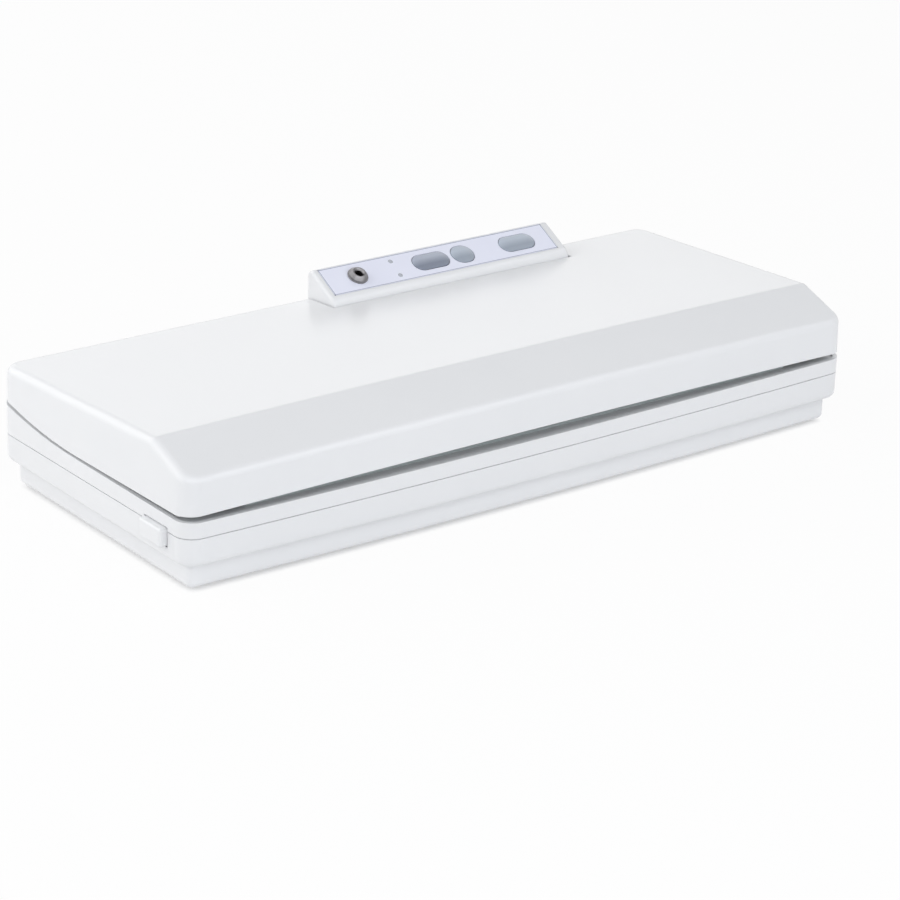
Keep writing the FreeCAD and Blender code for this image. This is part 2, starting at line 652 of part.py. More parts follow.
def hinge_posts():
    """Two posts at the rear corners of the raised deck, rounded about the hinge axis."""
    y, z, radius = v("hinge_y"), v("hinge_z"), v("post_radius")
    shapes = []
    for side in SIDES.values():
        x = mirror_span(side, v("post_near"), v("post_far"))
        shapes.append(box(x, (y - radius, y + radius), (v("plateau_top") - 1, z)))
        shapes.append(Part.makeCylinder(radius, x[1] - x[0], Vector(x[0], y, z), Vector(1, 0, 0)))
    return shapes


def deck_bosses():
    """Screw bosses that hang from the deck's underside down to the parting plane."""
    top = {v("screw_long"): v("plateau_top"), v("screw_short"): v("deck_floor")}
    low = v("parting_height")
    return [post(v("deck_boss"), x, y, (low, top[reach] - 1)) for x, y, reach in screw_places()]


def deck_holes():
    """Holes in the deck: screws, platform, console opening, switch feeler and those at the ends."""
    low, top = v("parting_height") - 1, v("plateau_top") + 1
    extra = v("blind_extra")
    holes = [post(v("screw_pilot"), x, y, (low, reach + extra)) for x, y, reach in screw_places()]
    seat = v("deck_floor") - v("deck_skin")
    holes.append(box(*platform_span(v("platform_play")), (seat, top)))
    holes.append(box(*platform_span(-v("ledge_width")), (low, top)))
    opening_x = (v("opening_left"), v("opening_right"))
    holes.append(box(opening_x, (v("opening_front"), v("opening_rear")), (low, top)))
    holes += [post(v("small_hole"), x, v("console_screw_y"), (low, top)) for x in console_screw_xs()]
    feeler = v("feeler_radius") + v("feeler_play")
    holes.append(post(feeler, v("lidswitch_x"), v("lidswitch_y"), (low, top)))
    return holes + [hole for side in SIDES.values() for hole in end_holes(side, (low, top))]


def end_holes(side, through):
    """Holes near one end of the deck: latch slot, heater leg, hinge pin and release window."""
    y, half = v("release_y"), v("hook_width") / 2 + v("hook_play")
    latch = box(mirror_span(side, v("slot_near"), v("slot_far")), (y - half, y + half), through)
    leg, play, bed = v("strip_half"), v("leg_play"), v("bed_y")
    reach = v("strip_width") / 2 + play
    leg_x = mirror_span(side, leg - v("strip_thick") - play, leg + play)
    leg_hole = box(leg_x, (bed - reach, bed + reach), through)
    pin = Vector(side * v("post_near") - BEYOND / 2, v("hinge_y"), v("hinge_z"))
    pin_hole = Part.makeCylinder(v("pin_radius") + v("pin_seat"), BEYOND, pin, Vector(1, 0, 0))
    return [latch, leg_hole, pin_hole, release_window(side)]


def console_screw_xs():
    """The two screws that hold the console, near its ends."""
    inset = v("console_screw_inset")
    return (v("console_left") + inset, v("console_right") - inset)


def make_feet():
    """Four round feet in recesses of the floor."""
    parts = []
    for sx in ("-foot_x", "foot_x"):
        for sy in ("-foot_y", "foot_y"):
            parts.append(rod("foot", "foot_radius", "z", ("0", "foot_height + foot_recess"), (sx, sy)))
    return node("feet", group("feet", parts))


def make_base_screws():
    """Six casing screws, driven from below through the pan's bosses into the deck's."""
    parts = []
    spots = [(sx, y, "screw_long") for sx in ("-screw_x", "screw_x") for y in ("screw_rear", "screw_mid")]
    spots += [(sx, "screw_front_y", "screw_short") for sx in ("-screw_front_x", "screw_front_x")]
    for x, y, reach in spots:
        head = rod("base_screw_head", "screw_head", "z", ("screw_head_low", "screw_seat"), (x, y))
        shank = rod("base_screw_shank", "screw_radius", "z", ("screw_seat", reach), (x, y))
        parts.append(fuse("base_screw", head, shank))
    return node("base_screws", group("base_screws", parts))


def make_cord_gland():
    """The bush that the power lead comes in through, flush with the back of the casing."""
    body = turned("cord_gland", [
        ("gland_bore", "0"), ("gland_radius", "0"), ("gland_radius", "casing_wall"),
        ("gland_flange", "casing_wall"), ("gland_flange", "2 * casing_wall"),
        ("gland_radius", "2 * casing_wall"), ("gland_radius", "gland_depth"), ("gland_bore", "gland_depth"),
    ])
    body.Placement = Placement(Vector(), Rotation(Vector(1, 0, 0), 90))
    bind_place(body, "gland_x", "body_depth / 2", "gland_z")
    return body


# Lid

def make_lid_shell():
    """The lid: a crowned shell with a bevelled front, cut round the console and the hinge posts."""
    wall, gap = v("lid_wall"), v("notch_gap")
    outer = lid_block(0, 0)
    upper = [f for f in outer.Faces if f.normalAt(*middle_of(f)).z > 0.3]
    rounded = {e.hashCode(): e for f in upper for e in f.Edges}
    outer = outer.makeFillet(v("lid_round"), list(rounded.values()))
    shell = outer.cut(lid_block(wall, wall))
    shell = shell.fuse([s.common(outer) for s in lid_bosses()])
    seam = under_seam(v("lid_front_low"), v("lid_side_low"), v("lid_rear_low"))
    notch_x = (v("console_left") - gap, v("console_right") + gap)
    notch = box(notch_x, (v("notch_front"), 2 * v("hinge_y")), (0, 2 * v("hinge_z")))
    shell = shell.cut([seam, crown_cutter(), notch] + lid_hinge_cuts())
    reach = v("small_reach")
    pilots = [post(v("small_pilot"), x, y, (0, top + reach)) for x, y, top in lid_screw_places()]
    feature("lid_shell", shell.cut(pilots).removeSplitter())


def lid_hinge_cuts():
    """At each end a slot in the lid for the deck's hinge post, and the pin's bore in the boss."""
    y, z, play, extra = v("hinge_y"), v("hinge_z"), v("slot_play"), v("blind_extra")
    shapes = []
    for side in SIDES.values():
        slot = mirror_span(side, v("post_near") - play, v("post_far") + play)
        shapes.append(box(slot, (y - v("boss_radius"), 2 * y), (0, z + v("post_radius") + extra)))
        low, high = mirror_span(side, v("boss_near") - extra, v("pin_end") + extra)
        radius = v("pin_radius") + v("pin_play")
        shapes.append(Part.makeCylinder(radius, high - low, Vector(low, y, z), Vector(1, 0, 0)))
    return shapes


def middle_of(face):
    """The middle of a face's parameters."""
    u0, u1, v0, v1 = face.ParameterRange
    return (u0 + u1) / 2, (v0 + v1) / 2


def crown_cutter():
    """What is cut from the lid's front wall so that its lower edge arches over the bag slot."""
    half, low = v("body_width") / 2, v("lid_front_low")
    ends = [Vector(s * half, 0, low) for s in (-1, 1)]
    arch = arc(ends[0], Vector(0, 0, low + v("lid_crown")), ends[1])
    below = [end - Vector(0, 0, v("lid_crown")) for end in ends]
    sides = Part.makePolygon([ends[1], below[1], below[0], ends[0]]).Edges
    face = Part.Face(Part.Wire([arch] + sides))
    face.translate(Vector(0, -v("body_depth"), 0))
    return face.extrude(Vector(0, v("body_depth") + v("plate_front"), 0))


def lid_screw_places():
    """Where the inner plate is screwed to the lid, with the plate's top there."""
    rows = ((v("lid_screw_front"), v("plate_low")), (v("lid_screw_rear"), v("plate_high")))
    return [(s * v("lid_screw_x"), y, low + v("plate_skin")) for s in (-1, 1) for y, low in rows]


def lid_bosses():
    """Screw bosses under the lid's top, and at each end the boss that holds the hinge pin."""
    top = v("bevel_top") + BEYOND
    shapes = [post(v("deck_boss"), x, y, (low, top)) for x, y, low in lid_screw_places()]
    y, z, radius = v("hinge_y"), v("hinge_z"), v("boss_radius")
    for side in SIDES.values():
        x = mirror_span(side, v("boss_near"), v("boss_far"))
        shapes.append(Part.makeCylinder(radius, x[1] - x[0], Vector(x[0], y, z), Vector(1, 0, 0)))
    return shapes


def make_lid_inner_plate():
    """The stepped plate that closes the lid and carries its gasket, pressure bar and hooks."""
    low, high, skin = v("plate_low"), v("plate_high"), v("plate_skin")
    front, step, rear = v("plate_front"), v("plateau_front"), v("plate_rear")
    slope = high - low
    points = [(front, low), (step - slope, low), (step, high), (rear, high), (rear, high + skin)]
    points += [(step - skin / 2, high + skin), (step - slope - skin / 2, low + skin), (front, low + skin)]
    outline = [Vector(-v("body_width"), y, z) for y, z in points]
    strip = Part.Face(Part.makePolygon(outline + outline[:1])).extrude(Vector(2 * v("body_width"), 0, 0))
    shape = strip.common(prism(v("plate_inset"), 0, 2 * high))
    holes = [post(v("small_hole"), x, y, (0, 2 * high)) for x, y, _ in lid_screw_places()]
    return feature("lid_inner_plate", shape.cut(holes))


def make_gasket(label, low, high):
    """A foam ring round the vacuum channel, with rounded corners."""
    body = doc.addObject("PartDesign::Body", label)
    inner = "2 * channel_half + 2 * gasket_gap"
    deep = "channel_rear - channel_front + 2 * gasket_gap"
    sketch = new_sketch(body, "XY_Plane")
    draw_rectangle(sketch, f"{inner} + 2 * gasket_width", f"{deep} + 2 * gasket_width")
    draw_rectangle(sketch, inner, deep)
    ring = pad(body, sketch, f"({high}) - ({low})")
    round_edges(body, ring, "gasket_corner", upright)
    bind_place(body, "0", "(channel_front + channel_rear) / 2", low)
    return node(label, body)


def make_pressure_bar():
    """The silicone bar under the lid that presses the bag onto the heating strip."""
    y = ("bed_y - tape_width / 2", "bed_y + tape_width / 2")
    bar = block("pressure_bar", ("-tape_half", "tape_half"), y, ("bar_low", "plate_low"))
    return node("pressure_bar", bar)


def make_latch_hook(side):
    """A blade under the lid whose barb snaps below the catch nose of a release slider."""
    label = f"latch_hook_{side}"
    spans = {
        "left": ("-hook_far", "-hook_near", "-barb_near"),
        "right": ("hook_near", "hook_far", "barb_near"),
    }
    low, high, tip = spans[side]
    y = ("release_y - hook_width / 2", "release_y + hook_width / 2")
    blade = block(f"{label}_blade", (low, high), y, ("hook_low", "plate_low"))
    barb_x = (high, tip) if side == "left" else (tip, low)
    barb = block(f"{label}_barb", barb_x, y, ("hook_low", "barb_high"))
    return node(label, fuse(label, blade, barb))


def make_lid_screws():
    """Four screws that hold the inner plate to the lid's bosses."""
    parts = []
    for x in ("-lid_screw_x", "lid_screw_x"):
        for y, seat in (("lid_screw_front", "plate_low"), ("lid_screw_rear", "plate_high")):
            head = rod("lid_screw_head", "small_head", "z", (f"{seat} - small_head_thick", seat), (x, y))
            shank = rod("lid_screw_shank", "small_radius", "z", (seat, f"{seat} + small_reach"), (x, y))
            parts.append(fuse("lid_screw", head, shank))
    return node("lid_screws", group("lid_screws", parts))


def make_hinge_pins():
    """Two steel pins, each held in a deck post and standing out into the lid's boss."""
    spans = (("-pin_end", "-post_near"), ("post_near", "pin_end"))
    parts = [rod("hinge_pin", "pin_radius", "x", span, ("hinge_y", "hinge_z")) for span in spans]
    return node("hinge_pins", group("hinge_pins", parts))


# Sealing and channel

def make_heater():
    """The heating strip with its legs, the bed that it lies in and the slippery tape over it."""
    half = "strip_width / 2"
    y = ("bed_y - bed_width / 2", "bed_y + bed_width / 2")
    bar = block("heater_bed_bar", ("-bed_half", "bed_half"), y, ("deck_floor", "bed_top"))
    groove_y = (f"bed_y - {half} - seat_play", f"bed_y + {half} + seat_play")
    groove_z = ("bed_top - strip_thick", "bed_top + strip_thick")
    groove = block("heater_bed_groove", ("-bed_half", "bed_half"), groove_y, groove_z)
    node("heater_bed", cut("heater_bed", bar, groove))
    strip_y = (f"bed_y - {half}", f"bed_y + {half}")
    run = block("strip_run", ("-strip_half", "strip_half"), strip_y, ("bed_top - strip_thick", "bed_top"))
    leg_z = ("strip_leg_low", "bed_top")
    left = block("strip_leg", ("-strip_half", "-strip_half + strip_thick"), strip_y, leg_z)
    right = block("strip_leg", ("strip_half - strip_thick", "strip_half"), strip_y, leg_z)
    node("heating_strip", fuse("heating_strip", run, left, right))
    tape_y = ("bed_y - tape_width / 2", "bed_y + tape_width / 2")
    tape = block("heater_tape", ("-tape_half", "tape_half"), tape_y, ("bed_top", "bed_top + tape_thick"))
    node("heater_tape", tape)


def make_sealing_platform():
    """The plate that gasket and tray sit on, which rests on the deck's ledge."""
    x, y = ("-platform_half", "platform_half"), ("platform_front", "platform_rear")
    plate = block("platform_plate", x, y, ("deck_floor - deck_skin", "deck_floor"))
    wide, margin = "channel_half + channel_wall + tray_play", "channel_wall + tray_play"
    hole_y = (f"channel_front - ({margin})", f"channel_rear + {margin}")
    hole = block("platform_hole", (f"-({wide})", wide), hole_y, ("channel_floor", "plateau_top"))
    node("sealing_platform", cut("sealing_platform", plate, hole))


def make_channel_tray():
    """The tray set into the platform inside the gasket, which forms the vacuum channel."""
    wide, wall, rim = "channel_half + channel_wall", "channel_wall", "channel_wall + tray_flange"
    y = (f"channel_front - {wall}", f"channel_rear + {wall}")
    bowl_z = (f"channel_floor - {wall}", "deck_floor + tray_rim")
    bowl = block("tray_bowl", (f"-({wide})", wide), y, bowl_z)
    rim_x = (f"-(channel_half + {rim})", f"channel_half + {rim}")
    rim_y = (f"channel_front - ({rim})", f"channel_rear + {rim}")
    flange = block("tray_flange_plate", rim_x, rim_y, ("deck_floor", "deck_floor + tray_rim"))
    room_x, room_y = ("-channel_half", "channel_half"), ("channel_front", "channel_rear")
    hollow = block("tray_hollow", room_x, room_y, ("channel_floor", "plateau_top"))
    spot = (INTAKE_X, "nozzle_y")
    outlet = rod("tray_outlet", "nozzle_neck + seat_play", "z", ("nozzle_low", "deck_floor"), spot)
    node("channel_tray", cut("channel_tray", fuse("tray_blank", bowl, flange), hollow, outlet))


def make_vacuum_nozzle():
    """The elbow in the tray's floor that air leaves by, with a barb for the pump hose."""
    spot = (INTAKE_X, "nozzle_y")
    rim = rod("nozzle_rim", "nozzle_flange", "z", ("channel_floor", "channel_floor + nozzle_rim"), spot)
    neck = rod("nozzle_stem", "nozzle_neck", "z", ("nozzle_low", "channel_floor"), spot)
    reach = ("nozzle_y", "nozzle_y + nozzle_neck + barb_length")
    barb = rod("nozzle_barb", "barb_radius", "y", reach, (INTAKE_X, "pump_z"))
    down = rod("nozzle_bore", "barb_bore", "z", ("pump_z", "deck_floor"), spot)
    along = rod("nozzle_duct", "barb_bore", "y", ("nozzle_y", "head_front"), (INTAKE_X, "pump_z"))
    node("vacuum_nozzle", cut("vacuum_nozzle", fuse("nozzle_blank", rim, neck, barb), down, along))


# Console

def console_profile():
    """The console's side outline: lip rounded about the hinge axis, sloping face, back and foot."""
    tilt = math.radians(v("panel_tilt"))
    reach = Vector(0, math.cos(tilt), math.sin(tilt)) * (v("panel_slope") / 2)
    centre = Vector(0, v("panel_y"), v("panel_z"))
    low, high = centre - reach, centre + reach
    axis = Vector(0, v("hinge_y"), v("hinge_z"))
    lip = Vector(0, v("lip_y"), v("lip_z"))
    middle = axis + ((lip - axis).normalize() + (low - axis).normalize()).normalize() * (lip - axis).Length
    base, ledge, rear = v("plateau_top"), v("rim_rear") + v("ledge_gap"), v("plateau_rear")
    back = [(v("crest_y"), v("crest_z")), (v("crest_y"), ledge), (rear, ledge), (rear, base)]
    points = [low, high] + [Vector(0, y, z) for y, z in back + [(v("lip_y"), base)]] + [lip]
    edges = [line(a, b) for a, b in zip(points, points[1:])]
    return Part.Wire(edges + [arc(lip, middle, low)])


def keys():
    """The three panel keys, each with the word that its dimensions' names begin with."""
    return (
        ("vacuum_seal_button", "oval"),
        ("canister_button", "round"),
        ("seal_button", "seal"),
    )


def make_console_housing():
    """The hollow console on the deck's rear, with holes for keys, lenses and port in its face."""
    wall, left, right = v("console_wall"), v("console_left"), v("console_right")
    base = v("plateau_top")
    profile = console_profile()
    outer = Part.Face(profile).extrude(Vector(right - left, 0, 0))
    ends = [e for e in outer.Edges if e.BoundBox.XLength < NEAR]
    rim = [e for e in ends if e.BoundBox.ZMin > v("rim_rear") or is_front_upright(e)]
    crest = [e for e in outer.Edges if e.BoundBox.XLength > 1 and e.BoundBox.ZMin > v("panel_z")]
    outer = outer.makeFillet(v("console_round"), rim + crest)
    inner = Part.Face(profile.makeOffset2D(-wall)).extrude(Vector(right - left - 2 * wall, 0, 0))
    outer.translate(Vector(left, 0, 0))
    inner.translate(Vector(left + wall, 0, 0))
    foot_y = (v("lip_y") + wall, v("plateau_rear") - wall)
    foot = box((left + wall, right - wall), foot_y, (base - 1, base + 2 * wall))
    added, removed = console_bosses(base)
    shell = outer.cut([inner, foot]).fuse(added).cut(removed + panel_holes())
    feature("console_housing", shell.removeSplitter())


def console_bosses(base):
    """The console's two screw bosses with a web to the back each, and the pilots in them."""
    y, reach, half = v("console_screw_y"), v("small_reach"), v("web_half")
    added, removed = [], []
    for x in console_screw_xs():
        added.append(post(v("deck_boss"), x, y, (base, base + reach + 2)))
        added.append(box((x - half, x + half), (y, v("plateau_rear") - half), (base, base + reach)))
        removed.append(post(v("small_pilot"), x, y, (base - 1, base + reach)))
    return added, removed


def is_front_upright(edge):
    """Whether an edge is one of the upright edges at the front of the console."""
    bounds = edge.BoundBox
    return bounds.YMax < v("lip_y") + NEAR and bounds.ZLength > 1


def panel_holes():
    """Cutters in the console's face: the faceplate's recess and the holes through it."""
    length = v("plate_length") / 2 + v("recess_play")
    width = v("plate_width") / 2 + v("recess_play")
    deep = -2 * v("console_wall")
    shapes = [box((-length, length), (-width, width), (-v("plate_thick"), 2))]
    for _, kind in keys():
        play = 2 * v("key_play")
        size = (v(f"{kind}_length") + play, v(f"{kind}_width") + play)
        shapes.append(obround(*size, deep, 2, v(f"{kind}_x")))
    for y in (v("lens_upper"), v("lens_lower")):
        shapes.append(post(v("lens_radius") + v("snug_play"), v("lens_x"), y, (deep, 2)))
    shapes.append(post(v("neck_radius") + v("seat_play"), v("port_x"), 0, (deep, 2)))
    return [on_panel(s) for s in shapes]


def make_console_faceplate():
    """The thin panel set into the console's face, with holes for everything that comes through."""
    body = doc.addObject("PartDesign::Body", "console_faceplate_blank")
    slab = padded_rectangle(body, "plate_length", "plate_width", "plate_thick", "-plate_thick")
    round_edges(body, slab, "plate_corner", upright)
    z = ("-2 * plate_thick", "plate_thick")
    tools = []
    for _, kind in keys():
        half = f"({kind}_length - {kind}_width) / 2"
        radius = f"{kind}_width / 2 + key_play"
        for sign in ("-", "+"):
            tools.append(rod("key_hole_end", radius, "z", z, (f"{kind}_x {sign} {half}", "0")))
        x = (f"{kind}_x - {half}", f"{kind}_x + {half}")
        tools.append(block("key_hole_middle", x, (f"-({radius})", radius), z))
    for y in ("lens_upper", "lens_lower"):
        tools.append(rod("lens_hole", "lens_radius + snug_play", "z", z, ("lens_x", y)))
    tools.append(rod("port_hole", "neck_radius + seat_play", "z", z, ("port_x", "0")))
    plate = cut("console_faceplate", body, *tools)
    return node("console_faceplate", seat_on_panel(plate))


def make_key(label, kind):
    """A panel key: rounded cap, retaining flange under the face and a stem over its switch."""
    body = doc.addObject("PartDesign::Body", label)
    length, width = f"{kind}_length", f"{kind}_width"
    cap = padded_rectangle(body, length, width, "key_proud - key_flange_top", "key_flange_top")
    cap = round_edges(body, cap, f"{width} / 2 - fillet_slack", upright)
    cap = round_edges(body, cap, "key_round", lambda e: e.BoundBox.ZMin > v("key_proud") - NEAR)
    grow = "2 * key_flange"
    low = "key_flange_top - key_flange_thick"
    flange = padded_rectangle(body, f"{length} + {grow}", f"{width} + {grow}", "key_flange_thick", low)
    limit = v("key_flange_top") + NEAR
    round_edges(body, flange, f"{width} / 2", lambda e: upright(e) and e.BoundBox.ZMax < limit)
    padded_rectangle(body, "key_stem_width", "key_stem_width", "key_stem", f"{low} - key_stem")
    seat_on_panel(body)
    body.setExpression("Placement.Base.x", expr(f"panel_x + {kind}_x"))
    node(label, body)


def make_panel_board():
    """The small board under the panel with a switch below each key and a lamp below each lens."""
    thick = ("board_top - board_thick", "board_top")
    slab = block("board_slab", ("board_left", "board_right"), ("board_front", "board_rear"), thick)
    node("panel_board", seat_on_panel(group("panel_board", [slab])))
    half = "switch_size / 2"
    knob_top = "board_top + switch_height"
    case_top = f"{knob_top} - knob_height"
    switches = []
    for _, kind in keys():
        x = (f"{kind}_x - {half}", f"{kind}_x + {half}")
        case = block("switch_case", x, (f"-{half}", half), ("board_top", case_top))
        knob = rod("switch_knob", "switch_size / 4", "z", (case_top, knob_top), (f"{kind}_x", "0"))
        switches.append(fuse("switch", case, knob))
    node("tact_switches", seat_on_panel(group("tact_switches", switches)))
    lamps, lenses = [], []
    for y in ("lens_upper", "lens_lower"):
        spot = ("lens_x", y)
        lamps.append(rod("lamp", "lens_radius", "z", ("board_top", "board_top + lamp_height"), spot))
        lenses.append(rod("lens", "lens_radius", "z", ("-console_wall", "lens_proud"), spot))
    node("panel_lamps", seat_on_panel(group("panel_lamps", lamps)))
    node("indicator_lenses", seat_on_panel(group("indicator_lenses", lenses)))


def make_accessory_port():
    """The metal port for a canister hose, with its threaded neck, hose tail and fixing nut."""
    top = "tail_low + port_proud"
    body = turned("accessory_port", [
        ("tail_bore", "0"), ("tail_radius", "0"), ("tail_radius", "tail_low - neck_low"),
        ("neck_radius", "tail_low - neck_low"), ("neck_radius", "tail_low"), ("port_radius", "tail_low"),
        ("port_radius", f"{top} - port_chamfer"), ("port_radius - port_chamfer", top), ("port_bore", top),
        ("port_bore", "tail_low - port_floor"), ("tail_bore", "tail_low - port_floor"),
    ])
    seat_on_panel(body)
    y, z = "panel_y + tail_low * sin(panel_tilt)", "panel_z - tail_low * cos(panel_tilt)"
    bind_place(body, "panel_x + port_x", y, z)
    prism_nut = doc.addObject("Part::Prism", "port_nut_prism")
    prism_nut.Polygon = 6
    prism_nut.setExpression("Circumradius", expr("nut_size"))
    prism_nut.setExpression("Height", expr("nut_height"))
    bind_place(prism_nut, "port_x", "0", "-console_wall - nut_height")
    span = ("-3 * nut_height", "nut_height")
    hole = rod("port_nut_hole", "neck_radius + snug_play", "z", span, ("port_x", "0"))
    node("port_nut", seat_on_panel(cut("port_nut", prism_nut, hole)))


def make_console_screws():
    """Two screws from under the deck into the console's bosses."""
    seat = "plateau_top - deck_skin"
    parts = []
    for x in ("console_left + console_screw_inset", "console_right - console_screw_inset"):
        spot = (x, "console_screw_y")
        head = rod("console_screw_head", "small_head", "z", (f"{seat} - small_head_thick", seat), spot)
        shank = rod("console_screw_shank", "small_radius", "z", (seat, f"{seat} + small_reach"), spot)
        parts.append(fuse("console_screw", head, shank))
    node("console_screws", group("console_screws", parts))


# Lid release

def make_release_button(side):
    """A release button, its flange behind the wall and its slider with the catch nose, in one piece."""
    label = f"release_button_{side}"
    sign = "-" if side == "left" else ""

    def span(near, far):
        """An X span from two distances to the middle of the casing."""
        return (f"-({far})", f"-({near})") if sign else (near, far)

    inner = "body_width / 2 - casing_wall"
    body = doc.addObject("PartDesign::Body", f"{label}_cap")
    depth = "release_proud + casing_wall + flange_thick"
    cap = padded_rectangle(body, "release_high - release_low", "release_length", depth)
    doc.recompute()
    top = cap.Shape.BoundBox.ZMax
    round_edges(body, cap, "release_round", lambda e: e.BoundBox.ZMin > top - NEAR or upright(e))
    body.Placement = Placement(Vector(), TURNS["x"] if not sign else Rotation(Vector(0, 1, 0), -90))
    bind_place(body, f"{sign}({inner} - flange_thick)", "release_y", "(release_low + release_high) / 2")
    half = "release_length / 2 + flange_margin"
    y = (f"release_y - ({half})", f"release_y + {half}")
    x = span(f"{inner} - flange_gap - flange_thick", f"{inner} - flange_gap")
    flange = block(f"{label}_flange", x, y, ("slider_low - flange_drop", "flange_high"))
    y = ("release_y - slider_width / 2", "release_y + slider_width / 2")
    x = span("slider_end", f"{inner} - flange_thick")
    slider = block(f"{label}_slider", x, y, ("slider_low", "slider_high"))
    riser = block(f"{label}_riser", span("slider_end", "nose_root"), y, ("slider_low", "nose_high"))
    nose = block(f"{label}_nose", span("slider_end", "nose_tip"), y, ("nose_low", "nose_high"))
    return node(label, fuse(label, body, flange, slider, riser, nose))


def make_release_spring(side):
    """The spring between a release slider and the stop wall of the base pan."""
    gap = v("spring_gap")
    length = v("slider_end") - v("spring_stop") - 2 * gap
    shape = coil(v("spring_radius"), v("spring_wire"), v("spring_turns"), length)
    obj = feature(f"release_spring_{side}", shape)
    start = gap + (v("spring_stop") if side == "right" else -v("slider_end"))
    obj.Placement = Placement(Vector(start, v("release_y"), v("spring_z")), Rotation())


# Vacuum pump

def make_pump():
    """Motor, crank, rod, diaphragm, housing and head of the vacuum pump."""
    make_motor()
    axis = ("pump_y", "pump_z")
    pin = ("pump_y - crank_throw", "pump_z")
    node("motor_shaft", rod("motor_shaft", "shaft_radius", "x", ("shaft_left", "shaft_right"), axis))
    disc = rod("eccentric_disc", "crank_radius", "x", ("crank_left", "crank_right"), pin)
    hole = rod("eccentric_hole", "shaft_radius", "x", ("motor_left", "housing_right"), axis)
    node("pump_eccentric", cut("pump_eccentric", disc, hole))
    ring = rod("bearing_ring", "bearing_radius", "x", ("crank_left", "crank_right"), pin)
    bore = rod("bearing_bore", "crank_radius + shaft_play", "x", ("motor_left", "housing_right"), pin)
    node("pump_bearing", cut("pump_bearing", ring, bore))
    make_pump_rod(pin)
    make_diaphragm()
    make_pump_housing()
    make_pump_head()
    make_pump_feet()


def make_motor():
    """The motor's can, bored at both ends for the shaft, and the rotor that turns inside it."""
    length, bore = "motor_right - motor_left", "shaft_radius + shaft_play"
    inner = "motor_radius - motor_wall"
    body = turned("pump_motor", [
        (bore, "0"), (inner, "0"), ("motor_radius", "motor_wall"),
        ("motor_radius", f"{length} - motor_edge"), ("motor_radius - motor_edge", length),
        ("motor_boss", length), ("motor_boss", f"{length} + motor_spigot"),
        (bore, f"{length} + motor_spigot"), (bore, f"{length} - motor_wall"),
        (inner, f"{length} - motor_wall"), (inner, "motor_wall"), (bore, "motor_wall"),
    ])
    body.Placement = Placement(Vector(), TURNS["x"])
    bind_place(body, "motor_left", "pump_y", "pump_z")
    axis = ("pump_y", "pump_z")
    span = ("motor_left + rotor_gap", "motor_right - rotor_gap")
    core = rod("rotor_core", "rotor_radius", "x", span, axis)
    hole = rod("rotor_hole", "shaft_radius", "x", ("motor_left", "motor_right"), axis)
    node("motor_rotor", cut("motor_rotor", core, hole))


def make_pump_rod(pin):
    """The rod from the bearing to the diaphragm, with its clamping plate, stud and cap."""
    x = ("crank_left", "crank_right")
    face = "housing_front"
    eye = rod("rod_eye", "rod_eye", "x", x, pin)
    half = "rod_width / 2"
    shank = block(
        "rod_shank", (f"{PUMP_X} - {half}", f"{PUMP_X} + {half}"),
        (face, "pump_y - crank_throw - bearing_radius - 1"), (f"pump_z - {half}", f"pump_z + {half}"),
    )
    middle = (PUMP_X, "pump_z")
    plate = rod("rod_plate", "rod_plate", "y", (face, f"{face} + rod_plate_thick"), middle)
    cap_rear = f"{face} - diaphragm_thick"
    stud = rod("rod_stud", "stud_radius", "y", (cap_rear, face), middle)
    cap = rod("rod_cap", "clamp_radius", "y", (f"{cap_rear} - clamp_thick", cap_rear), middle)
    seat = rod("rod_seat", "bearing_radius", "x", ("motor_left", "housing_right"), pin)
    node("pump_rod", cut("pump_rod", fuse("rod_blank", eye, shank, plate, stud, cap), seat))


def make_diaphragm():
    """The rubber diaphragm, held at its rim between housing and head and at its middle on the rod."""
    middle = (PUMP_X, "pump_z")
    y = ("housing_front - diaphragm_thick", "housing_front")
    disc = rod("diaphragm_disc", "diaphragm_radius", "y", y, middle)
    hole = rod("diaphragm_hole", "stud_radius", "y", ("head_front", "pump_y"), middle)
    node("pump_diaphragm", cut("pump_diaphragm", disc, hole))


def make_pump_housing():
    """The crankcase: open at the front for the rod, bored at the side for the motor."""
    x, y = ("housing_left", "housing_right"), ("housing_front", "housing_rear")
    case = block("housing_case", x, y, ("housing_low", "housing_high"))
    room = block(
        "housing_room", ("housing_left + housing_wall", "housing_right - housing_wall"),
        ("housing_front + housing_wall", "housing_rear - housing_wall"),
        ("housing_low + housing_wall", "housing_high - housing_wall"),
    )
    middle = (PUMP_X, "pump_z")
    mouth = rod("housing_mouth", "mouth_radius", "y", ("head_front", "pump_y"), middle)
    axis = ("pump_y", "pump_z")
    side = rod("housing_side", "motor_boss + recess_play", "x", ("motor_left", "crank_left"), axis)
    node("pump_housing", cut("pump_housing", case, room, mouth, side))


def make_pump_head():
    """The valve head in front of the diaphragm, with an intake and an exhaust barb."""
    rear = "housing_front - diaphragm_thick"
    x, z = ("housing_left", "housing_right"), ("housing_low", "housing_high")
    barbs = [block("head_case", x, ("head_front", rear), z)]
    chamber = (f"{rear} - chamber_depth", "housing_rear")
    bores = [rod("head_chamber", "mouth_radius", "y", chamber, (PUMP_X, "pump_z"))]
    for barb_x in (INTAKE_X, f"{PUMP_X} + barb_offset"):
        spot = (barb_x, "pump_z")
        reach = ("head_front - barb_length", "head_front + 1")
        barbs.append(rod("head_barb", "barb_radius", "y", reach, spot))
        bores.append(rod("head_bore", "barb_bore", "y", ("head_front - 2 * barb_length", rear), spot))
    node("pump_head", cut("pump_head", fuse("head_blank", *barbs), *bores))


